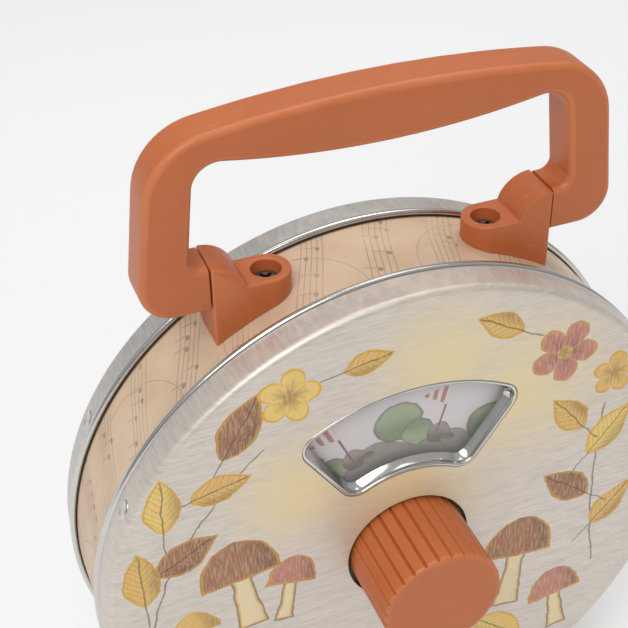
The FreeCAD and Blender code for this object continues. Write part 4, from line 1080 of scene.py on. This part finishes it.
def plastic(name, pale, deep, rough):
    material, tree, shader, point = new_material(name, Specular_IOR_Level=0.4)
    finish = add_node(tree, "Group", {"Point": point}, node_tree=moulded).outputs
    colour = blend_colours(tree, finish["Cloud"], deep, pale)
    colour = blend_colours(tree, times(tree, finish["Rub"], SCUFF_STRENGTH), colour, RUBBED_PALE)
    # Painted highlight: tightly bent outer edges are paled, to stand in for the light they catch.
    edge = add_node(tree, "Attribute", attribute_name="edge_highlight").outputs["Fac"]
    edge = times(tree, edge, scaled(tree, finish["Cloud"], EDGE_HIGHLIGHT_SPREAD, EDGE_HIGHLIGHT_STRENGTH))
    colour = blend_colours(tree, edge, colour, EDGE_HIGHLIGHT_PALE)
    gloss = scaled(tree, finish["Cloud"], CLOUD_ROUGH, rough)
    set_finish(tree, shader, colour, scaled(tree, finish["Rub"], SCUFF_ROUGH, gloss))
    set_bump(tree, shader, finish["Grain"], GRAIN_RISE)
    return material


def copy_node(node_name, name):
    """A copy of a CAD node with its own mesh, its doubled points merged and its flat faces whole."""
    copy = bpy.data.objects.new(name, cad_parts[node_name].data.copy())
    bpy.context.scene.collection.objects.link(copy)
    copy.data.materials.clear()
    edit_all(copy)
    bpy.ops.mesh.remove_doubles(threshold=NODE_MERGE)
    bpy.ops.mesh.dissolve_limited(angle_limit=FLAT_ANGLE)
    bpy.ops.mesh.normals_make_consistent(inside=False)
    bpy.ops.object.mode_set(mode="OBJECT")
    return copy


def mark_highlight_edges(piece):
    """Store how tightly the surface bends outwards at each point, as the attribute the plastic reads for its
    painted edge highlight.
    """
    mesh = piece.data
    sides = {}
    for face in mesh.polygons:
        for key in face.edge_keys:
            sides.setdefault(key, []).append(face)
    bend = [0.0] * len(mesh.vertices)
    for key, faces in sides.items():
        if len(faces) != 2:
            continue
        gap = faces[1].center - faces[0].center
        if gap.length == 0 or gap.dot(faces[0].normal) > 0:
            continue
        tightness = faces[0].normal.angle(faces[1].normal, 0.0) / gap.length
        for index in key:
            bend[index] = max(bend[index], tightness)
    edge_highlight = mesh.attributes.new("edge_highlight", "FLOAT", "POINT")
    for index, tightness in enumerate(bend):
        share = (tightness - SOFT_BEND) / (TIGHT_BEND - SOFT_BEND)
        edge_highlight.data[index].value = min(1.0, max(0.0, share))


terracotta = plastic("terracotta_plastic", TERRACOTTA_PALE, TERRACOTTA, rough=0.34)
for side_name in ("left", "right"):
    bracket = copy_node(f"bracket_{side_name}", f"bracket_{side_name}_moulding")
    bevel = {"width": BRACKET_BEVEL, "segments": 4, "limit_method": "ANGLE", "angle_limit": BRACKET_SHARP}
    apply_modifier(bracket, "BEVEL", **bevel)
    finish_mesh(bracket, f"bracket_{side_name}_moulding", smooth_angle=50)
    mark_highlight_edges(bracket)
    bracket.data.materials.append(terracotta)
    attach(bracket, "case")
    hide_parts(f"bracket_{side_name}")

# Clamps: moulded pads inside the band, in plain undyed plastic. The bracket screws pull them up against
# the tin. They can't be seen, so their CAD pieces stay as they are.
UNDYED = (0.52, 0.50, 0.46, 1)
UNDYED_PALE = (0.62, 0.60, 0.56, 1)
clamp_plastic = plastic("clamp_plastic", UNDYED_PALE, UNDYED, rough=0.42)
for side_name in ("left", "right"):
    dress(f"clamp_{side_name}", clamp_plastic)

# Bracket screws: dark steel pan-head screws with a cross recess, sunk in the brackets' counterbores.
# Each goes through the band into the clamp below.
SCREW_HEAD = 2.65 * MM
SCREW_HEIGHT = 2.0 * MM
SCREW_ROUND = 0.8 * MM
SCREW_SHANK = 1.4 * MM
SCREW_LENGTH = 7.0 * MM
SCREW_X = 22.7 * MM
SCREW_FLOOR = 126.3 * MM
SCREW_TOP = SCREW_FLOOR + SCREW_HEIGHT
CROSS_WIDTH = 0.75 * MM
CROSS_LONG = 3.1 * MM
CROSS_DEPTH = 1.1 * MM
CROSS_TURN = 0.6
LEVEL_REACH = 0.01 * MM
FACING_DOWN = -0.9
DARK_STEEL = (0.20, 0.19, 0.19, 1)
DARK_STEEL_DULL = (0.10, 0.09, 0.09, 1)
dark_steel = metal("dark_steel", DARK_STEEL, DARK_STEEL_DULL, line_scale=(300, 300, 60), rough=0.28)
for side_name, screw_x in (("left", -SCREW_X), ("right", SCREW_X)):
    deselect()
    bpy.ops.mesh.primitive_cylinder_add(
        vertices=48,
        radius=SCREW_HEAD,
        depth=SCREW_HEIGHT,
        location=(screw_x, TIN_CENTRE.y, SCREW_FLOOR + SCREW_HEIGHT / 2),
    )
    screw = bpy.context.object
    bpy.ops.object.transform_apply()
    choose(screw, "EDGE", lambda start, end: min(start.z, end.z) > SCREW_TOP - LEVEL_REACH)
    bpy.ops.mesh.bevel(offset=SCREW_ROUND, segments=5, affect="EDGES")
    choose(screw, "FACE", lambda face: face.normal.z < FACING_DOWN)
    bpy.ops.mesh.inset(thickness=SCREW_HEAD - SCREW_SHANK)
    bpy.ops.mesh.extrude_region_move(TRANSFORM_OT_translate={"value": (0, 0, -SCREW_LENGTH)})
    bpy.ops.object.mode_set(mode="OBJECT")
    for recess_turn in (CROSS_TURN, CROSS_TURN + math.pi / 2):
        deselect()
        bpy.ops.mesh.primitive_cube_add(size=1, location=(screw_x, TIN_CENTRE.y, SCREW_TOP))
        recess = bpy.context.object
        recess.scale = (CROSS_WIDTH, CROSS_LONG, 2 * CROSS_DEPTH)
        recess.rotation_euler = (0, 0, recess_turn)
        bpy.ops.object.transform_apply()
        apply_modifier(screw, "BOOLEAN", operation="DIFFERENCE", object=recess, solver="EXACT")
        bpy.data.objects.remove(recess)
    finish_mesh(screw, f"bracket_screw_{side_name}")
    screw.data.materials.append(dark_steel)
    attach(screw, "case")

# Carry handle: one thick terracotta moulding with rounded shoulders and a gently bellied grip, hung on
# two short pins in the brackets.
handle_low, handle_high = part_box("carry_handle")
HANDLE_CHAMFER = 1.7 * MM
HANDLE_ROUND = 1.3 * MM
OUTLINE_LEVEL = handle_low.y + HANDLE_CHAMFER
OUTLINE_REACH = 0.02 * MM
OUTLINE_MERGE = 0.3 * MM
STUB_X = 34.9 * MM
PIN_RADIUS = 2.0 * MM
PIN_LENGTH = 3.0 * MM
PIN_ROOT = 0.1 * MM
PIN_BEVEL = 0.3 * MM
PIVOT_Z = 131.3 * MM
handle = copy_node("carry_handle", "carry_handle_moulding")
choose(handle, "VERT", lambda place: abs(place.y - OUTLINE_LEVEL) > OUTLINE_REACH)
bpy.ops.mesh.delete(type="VERT")
bpy.ops.mesh.select_all(action="SELECT")
bpy.ops.mesh.remove_doubles(threshold=OUTLINE_MERGE)
bpy.ops.mesh.edge_face_add()
bpy.ops.transform.translate(value=(0, -HANDLE_CHAMFER, 0))
bpy.ops.mesh.extrude_region_move(TRANSFORM_OT_translate={"value": (0, handle_high.y - handle_low.y, 0)})
bpy.ops.mesh.select_all(action="SELECT")
bpy.ops.mesh.normals_make_consistent(inside=False)
bpy.ops.object.mode_set(mode="OBJECT")


def on_handle_rim(start, end):
    """An edge round the handle's front or rear face, but not one across a stub's end."""
    on_face = start.y < handle_low.y + LEVEL_REACH or start.y > handle_high.y - LEVEL_REACH
    at_stub = all(abs(abs(place.x) - STUB_X) < OUTLINE_REACH for place in (start, end))
    return on_face and abs(start.y - end.y) < LEVEL_REACH and not at_stub


choose(handle, "EDGE", on_handle_rim)
bpy.ops.mesh.bevel(offset=HANDLE_ROUND, segments=7, affect="EDGES", clamp_overlap=False)
bpy.ops.object.mode_set(mode="OBJECT")
finish_mesh(handle, "carry_handle_moulding", smooth_angle=40)
mark_highlight_edges(handle)
pins = []
for side in (-1, 1):
    deselect()
    bpy.ops.mesh.primitive_cylinder_add(
        vertices=32,
        radius=PIN_RADIUS,
        depth=PIN_LENGTH,
        location=(side * (STUB_X - PIN_LENGTH / 2 + PIN_ROOT), TIN_CENTRE.y, PIVOT_Z),
        rotation=(0, math.pi / 2, 0),
    )
    pin = bpy.context.object
    bpy.ops.object.transform_apply()
    choose(pin, "EDGE", lambda start, end: max(abs(start.x), abs(end.x)) < STUB_X - PIN_LENGTH / 2)
    bpy.ops.mesh.bevel(offset=PIN_BEVEL, segments=2, affect="EDGES")
    bpy.ops.object.mode_set(mode="OBJECT")
    pins.append(finish_mesh(pin, f"handle_pin_{len(pins) + 1}", smooth_angle=40))
for piece in [handle] + pins:
    piece.data.materials.append(terracotta)
    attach(piece, "handle")
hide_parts("carry_handle")

# Winding knob: a terracotta moulding with broad ribs and narrow grooves round it and a flat front with a
# softened rim. It is pressed on the winding arbor.
knob_low, knob_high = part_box("winding_knob")
KNOB_RADIUS = (knob_high.x - knob_low.x) / 2
KNOB_RIBS = 28
RIB_STEPS = 14
GROOVE_DEPTH = 0.65 * MM
GROOVE_SHARE = 0.24


def knob_loop(shrink, level, groove):
    """One ring of the ribbed outline at a y level, with its grooves cut to a share of their depth."""
    points = []
    for step in range(KNOB_RIBS * RIB_STEPS):
        turn = 2 * math.pi * step / (KNOB_RIBS * RIB_STEPS)
        off_groove = abs((step / RIB_STEPS) % 1 - 0.5) * 2
        dip = max(0.0, 1 - (off_groove / GROOVE_SHARE) ** 2)
        radius = KNOB_RADIUS - shrink - GROOVE_DEPTH * groove * dip
        points.append(Vector((radius * math.sin(turn), level, TIN_CENTRE.z + radius * math.cos(turn))))
    return points


# The rim's rings: how far in and how far back each lies, in millimetres, and how deep its grooves are.
KNOB_ROWS = [
    (1.3, 0.0, 0.0),
    (0.62, 0.0, 0.0),
    (0.45, 0.04, 0.1),
    (0.3, 0.14, 0.3),
    (0.16, 0.3, 0.6),
    (0.04, 0.55, 0.9),
    (0.0, 0.8, 1.0),
]
knob_loops = [knob_loop(shrink * MM, knob_low.y + sink * MM, groove) for shrink, sink, groove in KNOB_ROWS]
knob_loops.append(knob_loop(0.0, knob_high.y, 1.0))
knob = loops_to_piece(knob_loops, "winding_knob_moulding")
close_ends(knob)
turn_outwards(knob, FRONT)
finish_mesh(knob, "winding_knob_moulding", smooth_angle=40)
mark_highlight_edges(knob)
knob.data.materials.append(terracotta)
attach(knob, "winder")
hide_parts("winding_knob")

# Floor, light and camera: a pale ground with painted light that makes it a little lighter towards the back,
# under two soft studio lights in a pale room that is darker low down in front, seen from above and to the
# left.
FLOOR_SIZE = 6.0
FLOOR_NEAR = 0.89
FLOOR_FAR_PAINTED_LIGHT = 0.065
FLOOR_FAR_EDGE = (0.0, 0.4)
FLOOR_MOTTLE_SCALE = 6.0
FLOOR_MOTTLE = 0.02
deselect()
bpy.ops.mesh.primitive_plane_add(size=FLOOR_SIZE)
floor = bpy.context.object
floor.name = "floor"
floor_paint, tree, shader, point = new_material("floor_paint", Roughness=0.7)
# Painted light: the floor's colour rises towards the back, where the lamps light it less.
far_painted_light = ramp(tree, add_node(tree, "SeparateXYZ", {0: point}).outputs[1], *FLOOR_FAR_EDGE)
lightness = scaled(tree, far_painted_light, FLOOR_FAR_PAINTED_LIGHT, FLOOR_NEAR)
lightness = scaled(tree, noise(tree, point, FLOOR_MOTTLE_SCALE, detail=2.0), FLOOR_MOTTLE, lightness)
tree.links.new(lightness, shader.inputs["Base Color"])
floor.data.materials.append(floor_paint)

ROOM_LOW = (0.62, 0.63, 0.65, 1)
ROOM_HIGH = (0.9, 0.9, 0.9, 1)
ROOM_DARK = (0.06, 0.06, 0.065, 1)
ROOM_DARK_SHARE = 0.6
ROOM_RISE = (-0.2, 0.9)
DARK_FRONT_EDGE = (0.25, 0.8)
DARK_LOW_EDGE = (0.1, 0.45)
ROOM_STRENGTH = 0.58
scene = bpy.context.scene
scene.world = bpy.data.worlds.new("studio")
scene.world.use_nodes = True
room = scene.world.node_tree
background = room.nodes["Background"]
direction = add_node(room, "SeparateXYZ", {0: add_node(room, "TexCoord").outputs["Generated"]}).outputs
sockets = {"Value": direction[2], "From Min": ROOM_RISE[0], "From Max": ROOM_RISE[1]}
lift = add_node(room, "MapRange", sockets).outputs[0]
dark_front = ramp(room, times(room, direction[1], -1.0), *DARK_FRONT_EDGE)
dark_low = inverse(room, ramp(room, direction[2], *DARK_LOW_EDGE))
dark_share = times(room, times(room, dark_front, dark_low), ROOM_DARK_SHARE)
colour = blend_colours(room, dark_share, blend_colours(room, lift, ROOM_LOW, ROOM_HIGH), ROOM_DARK)
room.links.new(colour, background.inputs["Color"])
background.inputs["Strength"].default_value = ROOM_STRENGTH


def soft_light(name, spot, size, power):
    lamp = bpy.data.lights.new(name, "AREA")
    lamp.size = size
    lamp.energy = power
    holder = bpy.data.objects.new(name, lamp)
    scene.collection.objects.link(holder)
    holder.location = spot
    aim = TIN_CENTRE - Vector(spot)
    holder.rotation_euler = aim.to_track_quat("-Z", "Y").to_euler()


soft_light("key_light", spot=(-0.45, -0.55, 0.95), size=0.7, power=6.4)
soft_light("top_light", spot=(0.25, 0.25, 1.1), size=0.8, power=3.9)

CAMERA_TARGET = Vector((-13.35, 8.5, 117.01)) * MM
CAMERA_AZIMUTH = math.radians(-20.77)
CAMERA_ELEVATION = math.radians(36.47)
CAMERA_DISTANCE = 261.36 * MM
CAMERA_ROLL = math.radians(-1.2)
CAMERA_LENS = 77.68
CAMERA_NEAR = 0.01
camera_data = bpy.data.cameras.new("camera")
camera_data.lens = CAMERA_LENS
camera_data.clip_start = CAMERA_NEAR
camera = bpy.data.objects.new("camera", camera_data)
scene.collection.objects.link(camera)
back = Vector((
    math.cos(CAMERA_ELEVATION) * math.sin(CAMERA_AZIMUTH),
    -math.cos(CAMERA_ELEVATION) * math.cos(CAMERA_AZIMUTH),
    math.sin(CAMERA_ELEVATION),
))
camera.location = CAMERA_TARGET + back * CAMERA_DISTANCE
camera.rotation_mode = "QUATERNION"
camera.rotation_quaternion = (-back).to_track_quat("-Z", "Y") @ Quaternion((0, 0, 1), CAMERA_ROLL)
scene.camera = camera
scene.view_settings.view_transform = "Standard"
